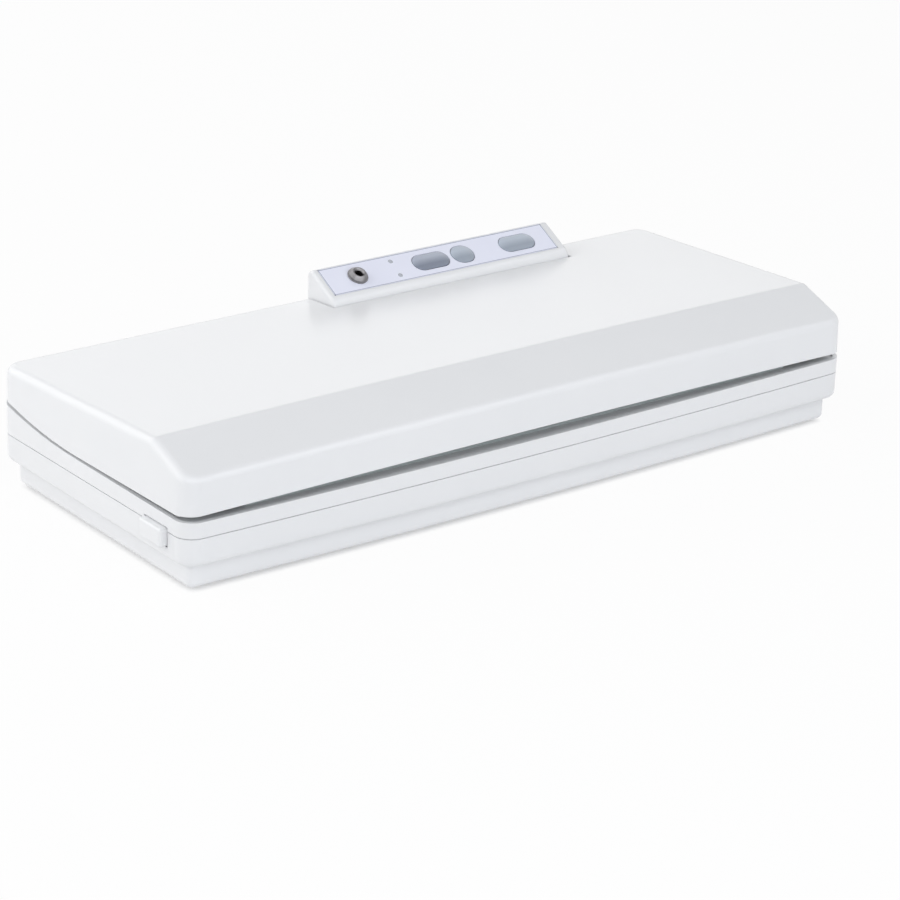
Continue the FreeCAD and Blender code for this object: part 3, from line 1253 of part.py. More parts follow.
def make_pump_feet():
    """Rubber mounts under the crankcase and a rubber saddle under the motor."""
    floor = "foot_height + casing_wall"
    mounts = []
    for x in ("housing_left + mount_inset", "housing_right - mount_inset"):
        for y in ("housing_front + mount_inset", "housing_rear - mount_inset"):
            mounts.append(rod("pump_mount", "mount_radius", "z", (floor, "housing_low"), (x, y)))
    node("pump_mounts", group("pump_mounts", mounts))
    y = ("pump_y - saddle_width / 2", "pump_y + saddle_width / 2")
    pillow = block("saddle_block", ("saddle_left", "saddle_right"), y, (floor, "saddle_height"))
    axis = ("pump_y", "pump_z")
    seat = rod("saddle_seat", "motor_radius + pin_seat", "x", ("motor_left", "motor_right"), axis)
    node("pump_saddle", cut("pump_saddle", pillow, seat))


def print_sweep(label, shape, area, path):
    """Reports a swept tube's volume against its section times its length."""
    print(label, "volume over section times length", round(shape.Volume / (area * path.Length), 4))


def make_hoses():
    """The straight hose from the tray to the pump, and the bent one from the port to the valve."""
    spot = (INTAKE_X, "pump_z")
    span = ("nozzle_y + nozzle_neck + hose_gap", "head_front - hose_gap")
    bore = "barb_radius + hose_play"
    skin = rod("hose_skin", f"{bore} + hose_wall", "y", span, spot)
    core = rod("hose_core", bore, "y", ("nozzle_y", "head_front"), spot)
    node("pump_hose", cut("pump_hose", skin, core))
    frame = panel_placement()
    depths = (v("neck_low") + v("hose_gap"), v("tail_low") + v("port_hose_drop"))
    points = [frame.multVec(Vector(v("port_x"), 0, -depth)) for depth in depths]
    y, z = v("valve_y"), v("valve_z")
    points += [Vector(points[1].x, y, z), Vector(v("valve_left") - v("hose_gap"), y, z)]
    path = tube_path(points, [v("port_hose_bend")] * 2)
    inner = v("tail_radius") + v("hose_play")
    outer = inner + v("hose_wall")
    wall = swept(path, outer).cut(swept(path, inner))
    print_sweep("port_hose", wall, math.pi * (outer**2 - inner**2), path)
    feature("port_hose", wall)


# Electrics

def make_transformer():
    """A laminated core with two windows, and the wound coil on its middle leg."""
    half = "core_length / 2"
    y = ("core_y - core_depth / 2", "core_y + core_depth / 2")
    z = ("core_low", "core_high")
    stack = block("core_stack", (f"core_x - {half}", f"core_x + {half}"), y, z)
    window_y = ("core_y - core_depth / 2 + core_yoke", "core_y + core_depth / 2 - core_yoke")
    window_z = ("core_low - 1", "core_high + 1")
    leg = "core_leg / 2"
    left = block("core_window", (f"core_x - {leg} - core_yoke", f"core_x - {leg}"), window_y, window_z)
    right = block("core_window", (f"core_x + {leg}", f"core_x + {leg} + core_yoke"), window_y, window_z)
    feet = []
    inset = "core_foot_inset"
    for x in (f"core_x - {half} + {inset}", f"core_x + {half} - {inset} - core_foot"):
        foot_z = ("foot_height + casing_wall", "core_low + 1")
        feet.append(block("core_foot", (x, f"{x} + core_foot"), y, foot_z))
    node("transformer_core", cut("transformer_core", fuse("core_blank", stack, *feet), left, right))
    wide, narrow = f"{leg} + core_yoke - coil_play", f"{leg} + coil_play"
    deep = "core_depth / 2 - core_yoke - coil_play"
    coil_x = (f"core_x - ({wide})", f"core_x + {wide}")
    coil_y = (f"core_y - ({deep})", f"core_y + {deep}")
    winding = block("coil_block", coil_x, coil_y, ("coil_low", "coil_high"))
    hole_x = (f"core_x - ({narrow})", f"core_x + {narrow}")
    hole = block("coil_hole", hole_x, y, ("core_low - coil_play", "core_high + coil_play"))
    node("transformer_coil", cut("transformer_coil", winding, hole))


def make_main_board():
    """The main board on its standoffs, and the larger parts soldered to it."""
    top = "mainboard_low + board_thick"
    x, y = ("mainboard_left", "mainboard_right"), ("mainboard_front", "mainboard_rear")
    node("main_board", block("main_board", x, y, ("mainboard_low", top)))
    parts = []
    for name, (right, back, length, width, height) in BOARD_PARTS.items():
        left, front = f"mainboard_left + {right}", f"mainboard_front + {back}"
        spans = (left, f"{left} + {length}"), (front, f"{front} + {width}"), (top, f"{top} + {height}")
        parts.append(block(name, *spans))
    for k in range(3):
        spot = (f"mainboard_left + can_x + {k} * can_pitch", "mainboard_front + can_y")
        parts.append(rod("capacitor", "can_radius", "z", (top, f"{top} + can_height"), spot))
    node("board_parts", group("board_parts", parts))


def make_valve():
    """The vent valve: a coil body with a hose barb, and the plunger that it pulls in."""
    half, axis = "valve_half", ("valve_y", "valve_z")
    y, z = [(f"{place} - {half}", f"{place} + {half}") for place in axis]
    case = block("valve_case", ("valve_left", "valve_right"), y, z)
    barb = rod("valve_barb", "tail_radius", "x", ("valve_left - barb_length", "valve_left + 1"), axis)
    bore_x = ("valve_left - 2 * barb_length", "valve_left + barb_length")
    bore = rod("valve_bore", "tail_bore", "x", bore_x, axis)
    guide_x = ("plunger_left - 2 * plunger_cap", "plunger_right")
    guide = rod("valve_guide", "plunger_radius + plunger_play", "x", guide_x, axis)
    node("vent_valve", cut("vent_valve", fuse("valve_blank", case, barb), bore, guide))
    stem = rod("plunger_stem", "plunger_radius", "x", ("plunger_left", "plunger_right"), axis)
    cap_x = ("plunger_right", "plunger_right + plunger_cap")
    cap = rod("plunger_cap", "plunger_head", "x", cap_x, axis)
    node("valve_plunger", fuse("valve_plunger", stem, cap))
    gap = v("spring_gap")
    length = v("plunger_right") - v("valve_right") - 2 * gap
    shape = coil(v("plunger_radius") + 1, v("spring_wire"), v("valve_turns"), length)
    spring = feature("valve_spring", shape)
    spring.Placement = Placement(Vector(v("valve_right") + gap, v("valve_y"), v("valve_z")), Rotation())


def make_switches():
    """The vacuum switch on the floor, and the lid switch under the deck with its feeler."""
    floor = "foot_height + casing_wall"
    spot = ("sensor_x", "sensor_y")
    top = f"{floor} + sensor_height"
    can = rod("sensor_can", "sensor_radius", "z", (floor, top), spot)
    neck = rod("sensor_neck", "barb_radius", "z", (f"{top} - 1", f"{top} + sensor_height"), spot)
    node("vacuum_switch", fuse("vacuum_switch", can, neck))
    x, y = "lidswitch_x", "lidswitch_y"
    top = "plateau_top - deck_skin"
    case = block(
        "lid_switch_case", (f"{x} - lidswitch_length / 2", f"{x} + lidswitch_length / 2"),
        (f"{y} - lidswitch_width / 2", f"{y} + lidswitch_width / 2"), ("lidswitch_low", top),
    )
    bore_z = ("feeler_low - 1", "plateau_top")
    bore = rod("lid_switch_bore", "feeler_radius + feeler_play", "z", bore_z, (x, y))
    node("lid_switch", cut("lid_switch", case, bore))
    feeler = rod("lid_switch_feeler", "feeler_radius", "z", ("feeler_low", "feeler_high"), (x, y))
    node("lid_switch_feeler", feeler)


def make_leads():
    """The two leads from the main board to the legs of the heating strip."""
    low = v("foot_height") + v("casing_wall") + v("lead_radius") + v("lead_rise")
    leg, y = v("strip_half") - v("strip_thick") / 2, v("bed_y")
    shapes = []
    for side, sign in SIDES.items():
        points = [Vector(sign * leg, y, v("strip_leg_low")), Vector(sign * leg, y, low)]
        points.append(Vector(v(f"lead_{side}_x"), v(f"lead_{side}_y"), low))
        points.append(Vector(v(f"lead_{side}_end"), v("lead_end_y"), low))
        path = tube_path(points, [v("lead_bend"), 2 * v("lead_bend")])
        shapes.append(swept(path, v("lead_radius")))
        print_sweep("heater_leads", shapes[-1], math.pi * v("lead_radius") ** 2, path)
    feature("heater_leads", Part.makeCompound(shapes))


def check_and_write():
    """Stops on any failed object or bad shape, then writes one file per sub-part."""
    doc.recompute()
    for obj in doc.Objects:
        if {"Invalid", "Error"} & set(obj.State):
            raise RuntimeError(f"{obj.Label} failed: {obj.State}")
    for obj in nodes:
        shape = obj.Shape
        if shape.isNull() or not shape.isValid() or not shape.Solids:
            raise RuntimeError(f"{obj.Label} has no valid solid")
    os.makedirs("parts", exist_ok=True)
    for obj in nodes:
        obj.Shape.exportStep(f"parts/{obj.Label}.step")
        print(f"{obj.Label}: {len(obj.Shape.Solids)} solid(s), {obj.Shape.Volume:.0f} mm3")


sheet = make_sheet()


def v(name):
    """A driving dimension as the sheet holds it."""
    return float(sheet.get(name))


make_base_pan()
make_upper_deck()
make_feet()
make_base_screws()
make_cord_gland()
make_lid_shell()
make_lid_inner_plate()
make_gasket("lower_gasket", "deck_floor", "gasket_top")
make_gasket("upper_gasket", "upper_gasket_low", "plate_low")
make_pressure_bar()
make_lid_screws()
make_hinge_pins()
make_heater()
make_sealing_platform()
make_channel_tray()
make_vacuum_nozzle()
make_console_housing()
make_console_faceplate()
for key_label, key_kind in keys():
    make_key(key_label, key_kind)
make_panel_board()
make_accessory_port()
make_console_screws()
for end in SIDES:
    make_latch_hook(end)
    make_release_button(end)
    make_release_spring(end)
make_pump()
make_hoses()
make_transformer()
make_main_board()
make_valve()
make_switches()
make_leads()
check_and_write()
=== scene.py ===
"""Looks of a countertop vacuum sealer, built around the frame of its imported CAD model.

Lengths are metres in the model's own frame: +X to the right along the casing, -Y towards the user and
+Z up. Shells and works keep their CAD meshes and get finishes here. Keys, lenses, hose port, seals,
pressure bar, tape, feet, screws, gland and springs are surfaces worked out in this file.
"""

import logging
import math
from dataclasses import dataclass
from enum import Enum
from typing import Any, Optional, Sequence, Union

import bmesh
import bpy
import numpy as np
from mathutils import Matrix, Vector


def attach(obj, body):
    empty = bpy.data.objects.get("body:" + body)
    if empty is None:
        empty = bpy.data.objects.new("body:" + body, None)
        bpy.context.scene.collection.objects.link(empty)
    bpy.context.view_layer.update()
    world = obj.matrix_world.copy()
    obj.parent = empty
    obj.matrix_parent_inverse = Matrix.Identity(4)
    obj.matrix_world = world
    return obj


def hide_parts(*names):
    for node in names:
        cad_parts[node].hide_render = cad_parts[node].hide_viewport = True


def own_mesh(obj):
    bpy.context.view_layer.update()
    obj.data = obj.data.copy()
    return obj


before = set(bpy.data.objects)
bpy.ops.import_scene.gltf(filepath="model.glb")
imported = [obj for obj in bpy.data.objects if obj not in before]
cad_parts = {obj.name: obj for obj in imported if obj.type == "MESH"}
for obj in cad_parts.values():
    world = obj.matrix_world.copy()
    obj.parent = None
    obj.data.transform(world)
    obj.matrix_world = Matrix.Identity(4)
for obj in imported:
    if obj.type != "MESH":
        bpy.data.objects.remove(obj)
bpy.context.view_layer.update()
LOG = logging.getLogger("sealer")
MM = 0.001
WHITE = (1.0, 1.0, 1.0)
COOL = (0.965, 0.985, 1.02)
MIDDLE = (0.3, 0.7)  # where most values of a noise lie
MERGED = 1e-6  # points closer than this are one
SLIVER = 1e-7  # edges shorter than this go
Piece, Material = bpy.types.Object, bpy.types.Material
Triple = Colour = tuple[float, float, float]
Term = Union["Value", float]


# Shader graphs

class Value:
    """A shader socket that Python's operators work on: each adds a Math node to the graph."""

    def __init__(self, graph: "Graph", socket: Optional[bpy.types.NodeSocket]) -> None:
        """Keeps the socket and the graph that it belongs to."""
        self.graph = graph
        self.socket = socket

    def math(self, operation: str, *terms: Term) -> "Value":
        """Adds a Math node with the terms as its inputs, in order."""
        return self.graph.node("ShaderNodeMath", {"operation": operation}, dict(enumerate(terms)))

    def __add__(self, other: Term) -> "Value":
        """The sum."""
        return self.math("ADD", self, other)

    __radd__ = __add__

    def __sub__(self, other: Term) -> "Value":
        """The difference."""
        return self.math("SUBTRACT", self, other)

    def __rsub__(self, other: Term) -> "Value":
        """The difference, with the number on the left."""
        return self.math("SUBTRACT", other, self)

    def __mul__(self, other: Term) -> "Value":
        """The product."""
        return self.math("MULTIPLY", self, other)

    __rmul__ = __mul__

    def __abs__(self) -> "Value":
        """The absolute value."""
        return self.math("ABSOLUTE", self)

    def sine(self) -> "Value":
        """The sine of an angle in radians."""
        return self.math("SINE", self)

    def root(self) -> "Value":
        """The square root."""
        return self.math("SQRT", self)

    def most(self, other: Term) -> "Value":
        """The larger of two values."""
        return self.math("MAXIMUM", self, other)

    def between(self, low: float, high: float) -> "Value":
        """A ramp from 0 at low to 1 at high, level outside."""
        sockets = {"Value": self, "From Min": low, "From Max": high}
        return self.graph.node("ShaderNodeMapRange", {"clamp": True}, sockets)


class Graph:
    """The nodes of one material or of the world."""

    def __init__(self, owner: Union[Material, bpy.types.World]) -> None:
        """Starts with no nodes at all.

        Args:
            owner: the material or world.
        """
        owner.use_nodes = True
        self.owner = owner
        self.tree = owner.node_tree
        self.tree.nodes.clear()

    def node(self, kind: str, settings: Optional[dict[str, Any]] = None,
             sockets: Optional[dict[Any, Any]] = None, output: Union[int, str] = 0) -> Value:
        """Adds any node.

        Args:
            kind: the node's type.
            settings: its properties, set first.
            sockets: numbers, colours or links for its inputs, by name or place.
            output: the output to hand back, by name or place.

        Returns:
            That output, which is empty for a node without outputs.
        """
        node = self.tree.nodes.new(kind)
        for key, value in (settings or {}).items():
            setattr(node, key, value)
        for key, value in (sockets or {}).items():
            self.feed(node.inputs[key], value)
        return Value(self, node.outputs[output] if node.outputs else None)

    def feed(self, socket: bpy.types.NodeSocket, value: Any) -> None:
        """Links a value to an input, or sets the input to a constant.

        Args:
            socket: the input.
            value: a value of the graph, a number, a vector or an opaque linear colour.
        """
        if isinstance(value, Value):
            self.tree.links.new(value.socket, socket)
        elif socket.type == "RGBA":
            socket.default_value = (*value, 1.0)
        else:
            socket.default_value = value

    def place(self) -> Value:
        """The position on the piece, in metres."""
        return self.node("ShaderNodeTexCoord", output="Object")

    def scaled(self, place: Value, factors: Triple) -> Value:
        """A position stretched along the axes."""
        return self.node("ShaderNodeMapping", {}, {"Vector": place, "Scale": factors})

    def split(self, place: Value) -> tuple[Value, Value, Value]:
        """The X, Y and Z of a position."""
        first = self.node("ShaderNodeSeparateXYZ", {}, {0: place})
        return tuple(Value(self, socket) for socket in first.socket.node.outputs)

    def seated(self, origin: Triple, tilt: float) -> tuple[Value, Value, Value]:
        """The coordinates along the panel, up its slope and out of it, from an origin on it."""
        sockets = {"Vector": self.place(), "Location": origin, "Rotation": (tilt, 0, 0)}
        return self.split(self.node("ShaderNodeMapping", {"vector_type": "TEXTURE"}, sockets))

    def noise(self, place: Value, size: float, detail: float = 2.0) -> Value:
        """Cloudy noise from 0 to 1, with clouds of one size and finer layers on them."""
        sockets = {"Vector": place, "Scale": 1.0 / size, "Detail": detail, "Roughness": 0.55}
        return self.node("ShaderNodeTexNoise", {}, sockets)

    def cells(self, place: Value, size: float) -> Value:
        """Distance to the middle of the nearest of many cells of one size."""
        return self.node("ShaderNodeTexVoronoi", {}, {"Vector": place, "Scale": 1.0 / size}, "Distance")

    def mix(self, share: Term, first: Any, second: Any) -> Value:
        """A colour between two others: the first at a share of 0, the second at 1."""
        return self.node("ShaderNodeMix", {"data_type": "RGBA"}, {0: share, 6: first, 7: second}, 2)

    def bump(self, height: Value, relief: float) -> Value:
        """A normal for heights from 0 to 1, where 1 is as high as the relief."""
        return self.node("ShaderNodeBump", {}, {"Strength": 1.0, "Distance": relief, "Height": height})

    def seen(self) -> Value:
        """1 for rays from the camera, in mirrors or through glass, and 0 for light that falls on things.

        Returns:
            That value.
        """
        kinds = ("Is Camera Ray", "Is Glossy Ray", "Is Transmission Ray")
        camera, mirror, glass = [self.node("ShaderNodeLightPath", output=kind) for kind in kinds]
        return camera.most(mirror).most(glass)

    def finish(self, kind: str, surface: Value) -> None:
        """Adds the output node that the surface goes to."""
        self.node(kind, {}, {"Surface": surface})

    def surface(self, inputs: dict[str, Any]) -> Material:
        """Adds a Principled shader, with constants or links by socket, and the output."""
        self.finish("ShaderNodeOutputMaterial", self.node("ShaderNodeBsdfPrincipled", {}, inputs))
        return self.owner


# Finishes

@dataclass(frozen=True)
class Finish:
    """What every finish has: a name, its colour and a second tone: painted shade in hollows and on the
    keys' lower part in some finishes, real wear, stains and random tone in the others.
    """

    name: str
    colour: Colour
    shade: Colour

    def start(self) -> tuple[Graph, Value]:
        """The material's nodes and the position on the piece."""
        graph = Graph(bpy.data.materials.new(self.name))
        return graph, graph.place()

    def material(self) -> Material:
        """Makes the material, in each finish's own way."""
        raise NotImplementedError


@dataclass(frozen=True)
class Moulding(Finish):
    """Moulded plastic: sparked grain, faint flow clouds and a thin glossy skin."""

    roughness: float
    coat: float
    grain: float = 0.45 * MM
    relief: float = 0.004 * MM
    cloud: float = 60 * MM
    drift: float = 0.12
    sparkle: float = 0.1

    def material(self) -> Material:
        """Colour drifts slowly between the two tones; roughness follows clouds and grain.

        Returns:
            The material.
        """
        graph, place = self.start()
        cloud = graph.noise(place, self.cloud, 3.0)
        grain = graph.noise(place, self.grain)
        return graph.surface({
            "Base Color": graph.mix(cloud.between(*MIDDLE), self.shade, self.colour),
            "Roughness": self.roughness + (cloud - 0.5) * self.drift + (grain - 0.5) * self.sparkle,
            "Coat Weight": self.coat,
            "Coat Roughness": 0.2,
            "Normal": graph.bump(grain, self.relief),
        })


@dataclass(frozen=True)
class KeyPaintWithPaintedShade(Finish):
    """Glossy paint with a fine fleck on the panel's keys, and painted shade: paler above and darker below.
    """

    origin: Triple
    tilt: float
    low: float = -2.6 * MM
    high: float = 2.2 * MM
    fleck: float = 0.2 * MM
    cloud: float = 4 * MM
    haze: float = 0.1
    relief: float = 0.001 * MM

    def material(self) -> Material:
        """The painted shade is a ramp up the panel's slope, from low to high about its middle line, with a
        faint random cloud mixed in.

        Returns:
            The material.
        """
        graph, place = self.start()
        _, rise, _ = graph.seated(self.origin, self.tilt)
        fleck = graph.noise(place, self.fleck)
        cloud = graph.noise(place, self.cloud, 3.0)
        # painted shade: the keys are paler up the slope and darker towards their lower edge
        painted_shade_and_tone = rise.between(self.low, self.high) * (1 - self.haze) + cloud * self.haze
        return graph.surface({
            "Base Color": graph.mix(painted_shade_and_tone, self.shade, self.colour),
            "Roughness": 0.22 + fleck * 0.08,
            "Coat Weight": 0.7,
            "Coat Roughness": 0.15,
            "Normal": graph.bump(fleck, self.relief),
        })


@dataclass(frozen=True)
class Rubber(Finish):
    """Rubber or silicone: matt bloom over a fine moulded grain."""

    roughness: float
    grain: float = 0.6 * MM
    relief: float = 0.02 * MM
    cloud: float = 7 * MM

    def material(self) -> Material:
        """The bloom lies in clouds a few millimetres wide.

        Returns:
            The material.
        """
        graph, place = self.start()
        bloom = graph.noise(place, self.cloud, 4.0)
        grain = graph.noise(place, self.grain)
        return graph.surface({
            "Base Color": graph.mix(bloom.between(0.35, 0.8), self.colour, self.shade),
            "Roughness": self.roughness + (bloom - 0.5) * 0.2,
            "Normal": graph.bump(grain, self.relief),
        })


@dataclass(frozen=True)
class Foam(Finish):
    """Closed-cell sealing foam: crowded pores of two sizes in a dark matt skin, the pores' middles darker
    as painted shade.
    """

    size: float = 0.9 * MM
    share: float = 0.65
    relief: float = 0.12 * MM

    def material(self) -> Material:
        """Pores are the cells' middles; the fine ones are a third as wide.

        Returns:
            The material.
        """
        graph, place = self.start()
        wide = graph.cells(place, self.size).between(0.15, 0.6)
        fine = graph.cells(place, self.size / 3).between(0.1, 0.6)
        skin = wide * self.share + fine * (1 - self.share)
        return graph.surface({
            # painted shade: the pores' middles are darker
            "Base Color": graph.mix(skin, self.shade, self.colour),
            "Roughness": 0.95 - skin * 0.15,
            "Normal": graph.bump(skin, self.relief),
        })


class Run(Enum):
    """The direction that a metal's marks run in, as factors for the position."""

    ALONG_X = (0.02, 1.0, 1.0)
    ALONG_Y = (1.0, 0.02, 1.0)


@dataclass(frozen=True)
class Metal(Finish):
    """Bare metal: fine marks in one direction and a little tarnish."""

    roughness: float
    run: Run = Run.ALONG_X
    mark: float = 0.25 * MM
    stain: float = 5 * MM
    relief: float = 0.006 * MM

    def material(self) -> Material:
        """Marks are noise drawn out along the run.

        Returns:
            The material.
        """
        graph, place = self.start()
        marks = graph.noise(graph.scaled(place, self.run.value), self.mark)
        stain = graph.noise(place, self.stain, 4.0)
        return graph.surface({
            "Base Color": graph.mix(stain.between(0.35, 0.75), self.colour, self.shade),
            "Metallic": 1.0,
            "Roughness": self.roughness + (marks - 0.5) * 0.18 + (stain - 0.5) * 0.12,
            "Normal": graph.bump(marks, self.relief),
        })


@dataclass(frozen=True)
class TurnedMetal(Finish):
    """Metal turned on a lathe: rings about the axis of the piece, bright, with painted shade in the grooves
    between them.
    """

    roughness: float
    origin: Triple
    tilt: float
    pitch: float = 0.35 * MM
    stain: float = 2.5 * MM
    relief: float = 0.008 * MM

    def material(self) -> Material:
        """Rings are a sine of the distance from the axis plus the height along it.

        Returns:
            The material.
        """
        graph, place = self.start()
        x, y, z = graph.seated(self.origin, self.tilt)
        ring = (((x * x + y * y).root() + z) * (2 * math.pi / self.pitch)).sine() * 0.5 + 0.5
        stain = graph.noise(place, self.stain, 4.0)
        return graph.surface({
            # colour: real stain, plus painted shade in the rings' grooves
            "Base Color": graph.mix((stain * 0.7 + ring * 0.3).between(0.25, 0.8), self.shade, self.colour),
            "Metallic": 1.0,
            "Roughness": self.roughness + ring * 0.08 + (stain - 0.5) * 0.15,
            "Normal": graph.bump(ring, self.relief),
        })


@dataclass(frozen=True)
class GlassTape(Finish):
    """Coated glass cloth: threads over and under each other, slick and brown, with painted shade in the
    hollows between threads.
    """

    thread: float = 0.8 * MM
    scorch: float = 4 * MM
    stretch: Triple = (0.2, 1.0, 1.0)
    relief: float = 0.05 * MM

    def material(self) -> Material:
        """The weave is the product of two sines, one along each set of threads.

        Returns:
            The material.
        """
        graph, place = self.start()
        x, y, _ = graph.split(place)
        weave = (x * (math.pi / self.thread)).sine() * (y * (math.pi / self.thread)).sine() * 0.5 + 0.5
        scorch = graph.noise(graph.scaled(place, self.stretch), self.scorch, 3.0)
        # painted shade: the hollows of the weave are darker
        colour = graph.mix(weave, self.shade, self.colour)
        return graph.surface({
            "Base Color": graph.mix(scorch.between(0.5, 0.9) * 0.5, colour, self.shade),
            "Roughness": 0.32 + weave * 0.15,
            "Normal": graph.bump(weave, self.relief),
        })


class Axis(Enum):
    """A coordinate's number in a position."""

    Y = 1
    Z = 2


@dataclass(frozen=True)
class Layered(Finish):
    """Stacked sheets or wound wire: fine ridges at a pitch along one axis, with painted shade in the gaps
    between them.
    """

    pitch: float
    axis: Axis
    metallic: float
    roughness: float
    stain: float = 6 * MM
    relief: float = 0.15 * MM

    def material(self) -> Material:
        """Ridges are the absolute sine of the coordinate along the axis.

        Returns:
            The material.
        """
        graph, place = self.start()
        ridge = abs((graph.split(place)[self.axis.value] * (math.pi / self.pitch)).sine())
        stain = graph.noise(place, self.stain, 3.0)
        return graph.surface({
            # painted shade: darker in the gaps between sheets and turns
            "Base Color": graph.mix(ridge.between(0.1, 0.6), self.shade, self.colour),
            "Metallic": self.metallic,
            "Roughness": self.roughness + (stain - 0.5) * 0.2,
            "Normal": graph.bump(ridge, self.relief),
        })


@dataclass(frozen=True)
class BoardLacquer(Finish):
    """Circuit board: lacquer over tracks, with bare laminate between them."""

    pitch: float = 2.6 * MM
    cloud: float = 12 * MM
    relief: float = 0.03 * MM

    def material(self) -> Material:
        """Tracks are the joints of a brick pattern.

        Returns:
            The material.
        """
        graph, place = self.start()
        settings = {"offset": 0.37, "squash": 1.6, "squash_frequency": 3}
        sockets = {"Vector": place, "Scale": 1.0 / self.pitch, "Mortar Size": 0.16, "Mortar Smooth": 0.1}
        tracks = graph.node("ShaderNodeTexBrick", settings, sockets, "Fac")
        haze = graph.noise(place, self.cloud, 3.0)
        return graph.surface({
            "Base Color": graph.mix(tracks * 0.7 + haze * 0.15, self.colour, self.shade),
            "Roughness": 0.28 + haze * 0.15,
            "Coat Weight": 0.4,
            "Normal": graph.bump(tracks, self.relief),
        })


@dataclass(frozen=True)
class Lens(Finish):
    """Milky indicator lens: clear moulded plastic with a denser middle."""

    cloud: float = 0.8 * MM

    def material(self) -> Material:
        """The density is a fine cloud through the plastic.

        Returns:
            The material.
        """
        graph, place = self.start()
        haze = graph.noise(place, self.cloud)
        return graph.surface({
            "Base Color": graph.mix(haze.between(*MIDDLE), self.shade, self.colour),
            "Roughness": 0.12 + haze * 0.08,
            "Transmission Weight": 0.25,
            "IOR": 1.49,
            "Coat Weight": 0.5,
        })


@dataclass(frozen=True)
class PanelFilm(Finish):
    """Film on the panel: a pale tint with a fine dark line drawn all round, just inside its edge."""

    outline_tone: Colour
    origin: Triple
    tilt: float
    length: float = 155 * MM
    width: float = 19.6 * MM
    inset: float = 0.45 * MM
    line: tuple[float, float] = (0.14 * MM, 0.24 * MM)
    cloud: float = 18 * MM
    grain: float = 0.3 * MM
    relief: float = 0.003 * MM

    def material(self) -> Material:
        """The outline is a band inset from the edge, the larger of |x| - length / 2 and |y| - width / 2.

        Returns:
            The material.
        """
        graph, place = self.start()
        x, y, _ = graph.seated(self.origin, self.tilt)
        edge = (abs(x) - self.length / 2).most(abs(y) - self.width / 2)
        line = 1 - abs(edge + self.inset).between(*self.line)
        haze = graph.noise(place, self.cloud, 3.0)
        grain = graph.noise(place, self.grain)
        ground = graph.mix(haze.between(*MIDDLE), self.shade, self.colour)
        return graph.surface({
            # the dark line inside the film's edge, the same all round
            "Base Color": graph.mix(line * 0.8, ground, self.outline_tone),
            "Roughness": 0.3 + haze * 0.1,
            "Coat Weight": 0.25,
            "Coat Roughness": 0.1,
            "Normal": graph.bump(grain, self.relief),
        })


# Surfaces

@dataclass
class Grid:
    """A sheet of points, rows by columns, that may close on itself either way."""

    points: np.ndarray
    close_rows: bool = False
    close_columns: bool = True

    def quads(self) -> np.ndarray:
        """The corner numbers of every face between neighbouring rows and columns.

        Returns:
            Four numbers for each face.
        """
        rows, columns = self.points.shape[:2]
        index = np.arange(rows * columns).reshape(rows, columns)
        if self.close_rows:
            index = np.vstack([index, index[:1]])
        if self.close_columns:
            index = np.hstack([index, index[:, :1]])
        corners = (index[:-1, :-1], index[1:, :-1], index[1:, 1:], index[:-1, 1:])
        return np.stack(corners, axis=-1).reshape(-1, 4)

    def moved(self, matrix: Matrix) -> "Grid":
        """The same sheet after a transform's turn and shift."""
        points = self.points @ np.array(matrix.to_3x3()).T + np.array(matrix.translation)
        return Grid(points, self.close_rows, self.close_columns)


def skin(name: str, grids: Sequence[Grid], crease: float = 38.0) -> Piece:
    """Makes one object from sheets, with seams and poles merged and faces outwards.

    Args:
        name: the piece's name.
        grids: its sheets, each closed once its doubles are merged.
        crease: edges sharper than this angle, in degrees, stay sharp.

    Returns:
        The object, at the origin.
    """
    starts = np.cumsum([0] + [grid.points.shape[0] * grid.points.shape[1] for grid in grids])
    points = np.concatenate([grid.points.reshape(-1, 3) for grid in grids])
    faces = np.concatenate([grid.quads() + start for grid, start in zip(grids, starts)])
    mesh = bpy.data.meshes.new(name)
    mesh.from_pydata(points.tolist(), [], faces.tolist())
    work = bmesh.new()
    work.from_mesh(mesh)
    bmesh.ops.remove_doubles(work, verts=work.verts, dist=MERGED)
    bmesh.ops.dissolve_degenerate(work, edges=work.edges, dist=SLIVER)
    bmesh.ops.recalc_face_normals(work, faces=work.faces)
    work.to_mesh(mesh)
    work.free()
    mesh.shade_smooth()
    mesh.set_sharp_from_angle(angle=math.radians(crease))
    piece = bpy.data.objects.new(name, mesh)
    bpy.context.scene.collection.objects.link(piece)
    return piece


def lathe(profile: np.ndarray, segments: int = 64, closed: bool = False) -> Grid:
    """A turned surface: the profile's (radius, height) pairs carried round the Z axis.

    Args:
        profile: the pairs, in order.
        segments: steps round the axis.
        closed: whether the profile is a loop, as for a ring.

    Returns:
        The sheet, with point (r cos a, r sin a, z).
    """
    angle = np.linspace(0, 2 * np.pi, segments, endpoint=False)
    radius, height = profile[:, :1], profile[:, 1:]
    points = np.stack([radius * np.cos(angle), radius * np.sin(angle), height + 0 * angle], axis=-1)
    return Grid(points, close_rows=closed)


def carried(profile: np.ndarray, centres: np.ndarray, outward: np.ndarray, closed: bool) -> Grid:
    """A profile carried along a level path.

    Args:
        profile: (distance outwards, height) pairs.
        centres: the path's points in plan.
        outward: the unit direction outwards at each of them.
        closed: whether the profile is a loop.

    Returns:
        The sheet, with point (centre + distance x outward, height).
    """
    plan = centres[None] + profile[:, :1, None] * outward[None]
    height = np.broadcast_to(profile[:, 1:, None], plan.shape[:2] + (1,))
    return Grid(np.concatenate([plan, height], axis=-1), close_rows=closed)


def pointed(points: np.ndarray) -> np.ndarray:
    """Rows of points with one more at each end, drawn in to the middle of the row next to it."""
    ends = np.broadcast_to(points[[0, -1]].mean(axis=1, keepdims=True), (2,) + points.shape[1:])
    return np.concatenate([ends[:1], points, ends[1:]])


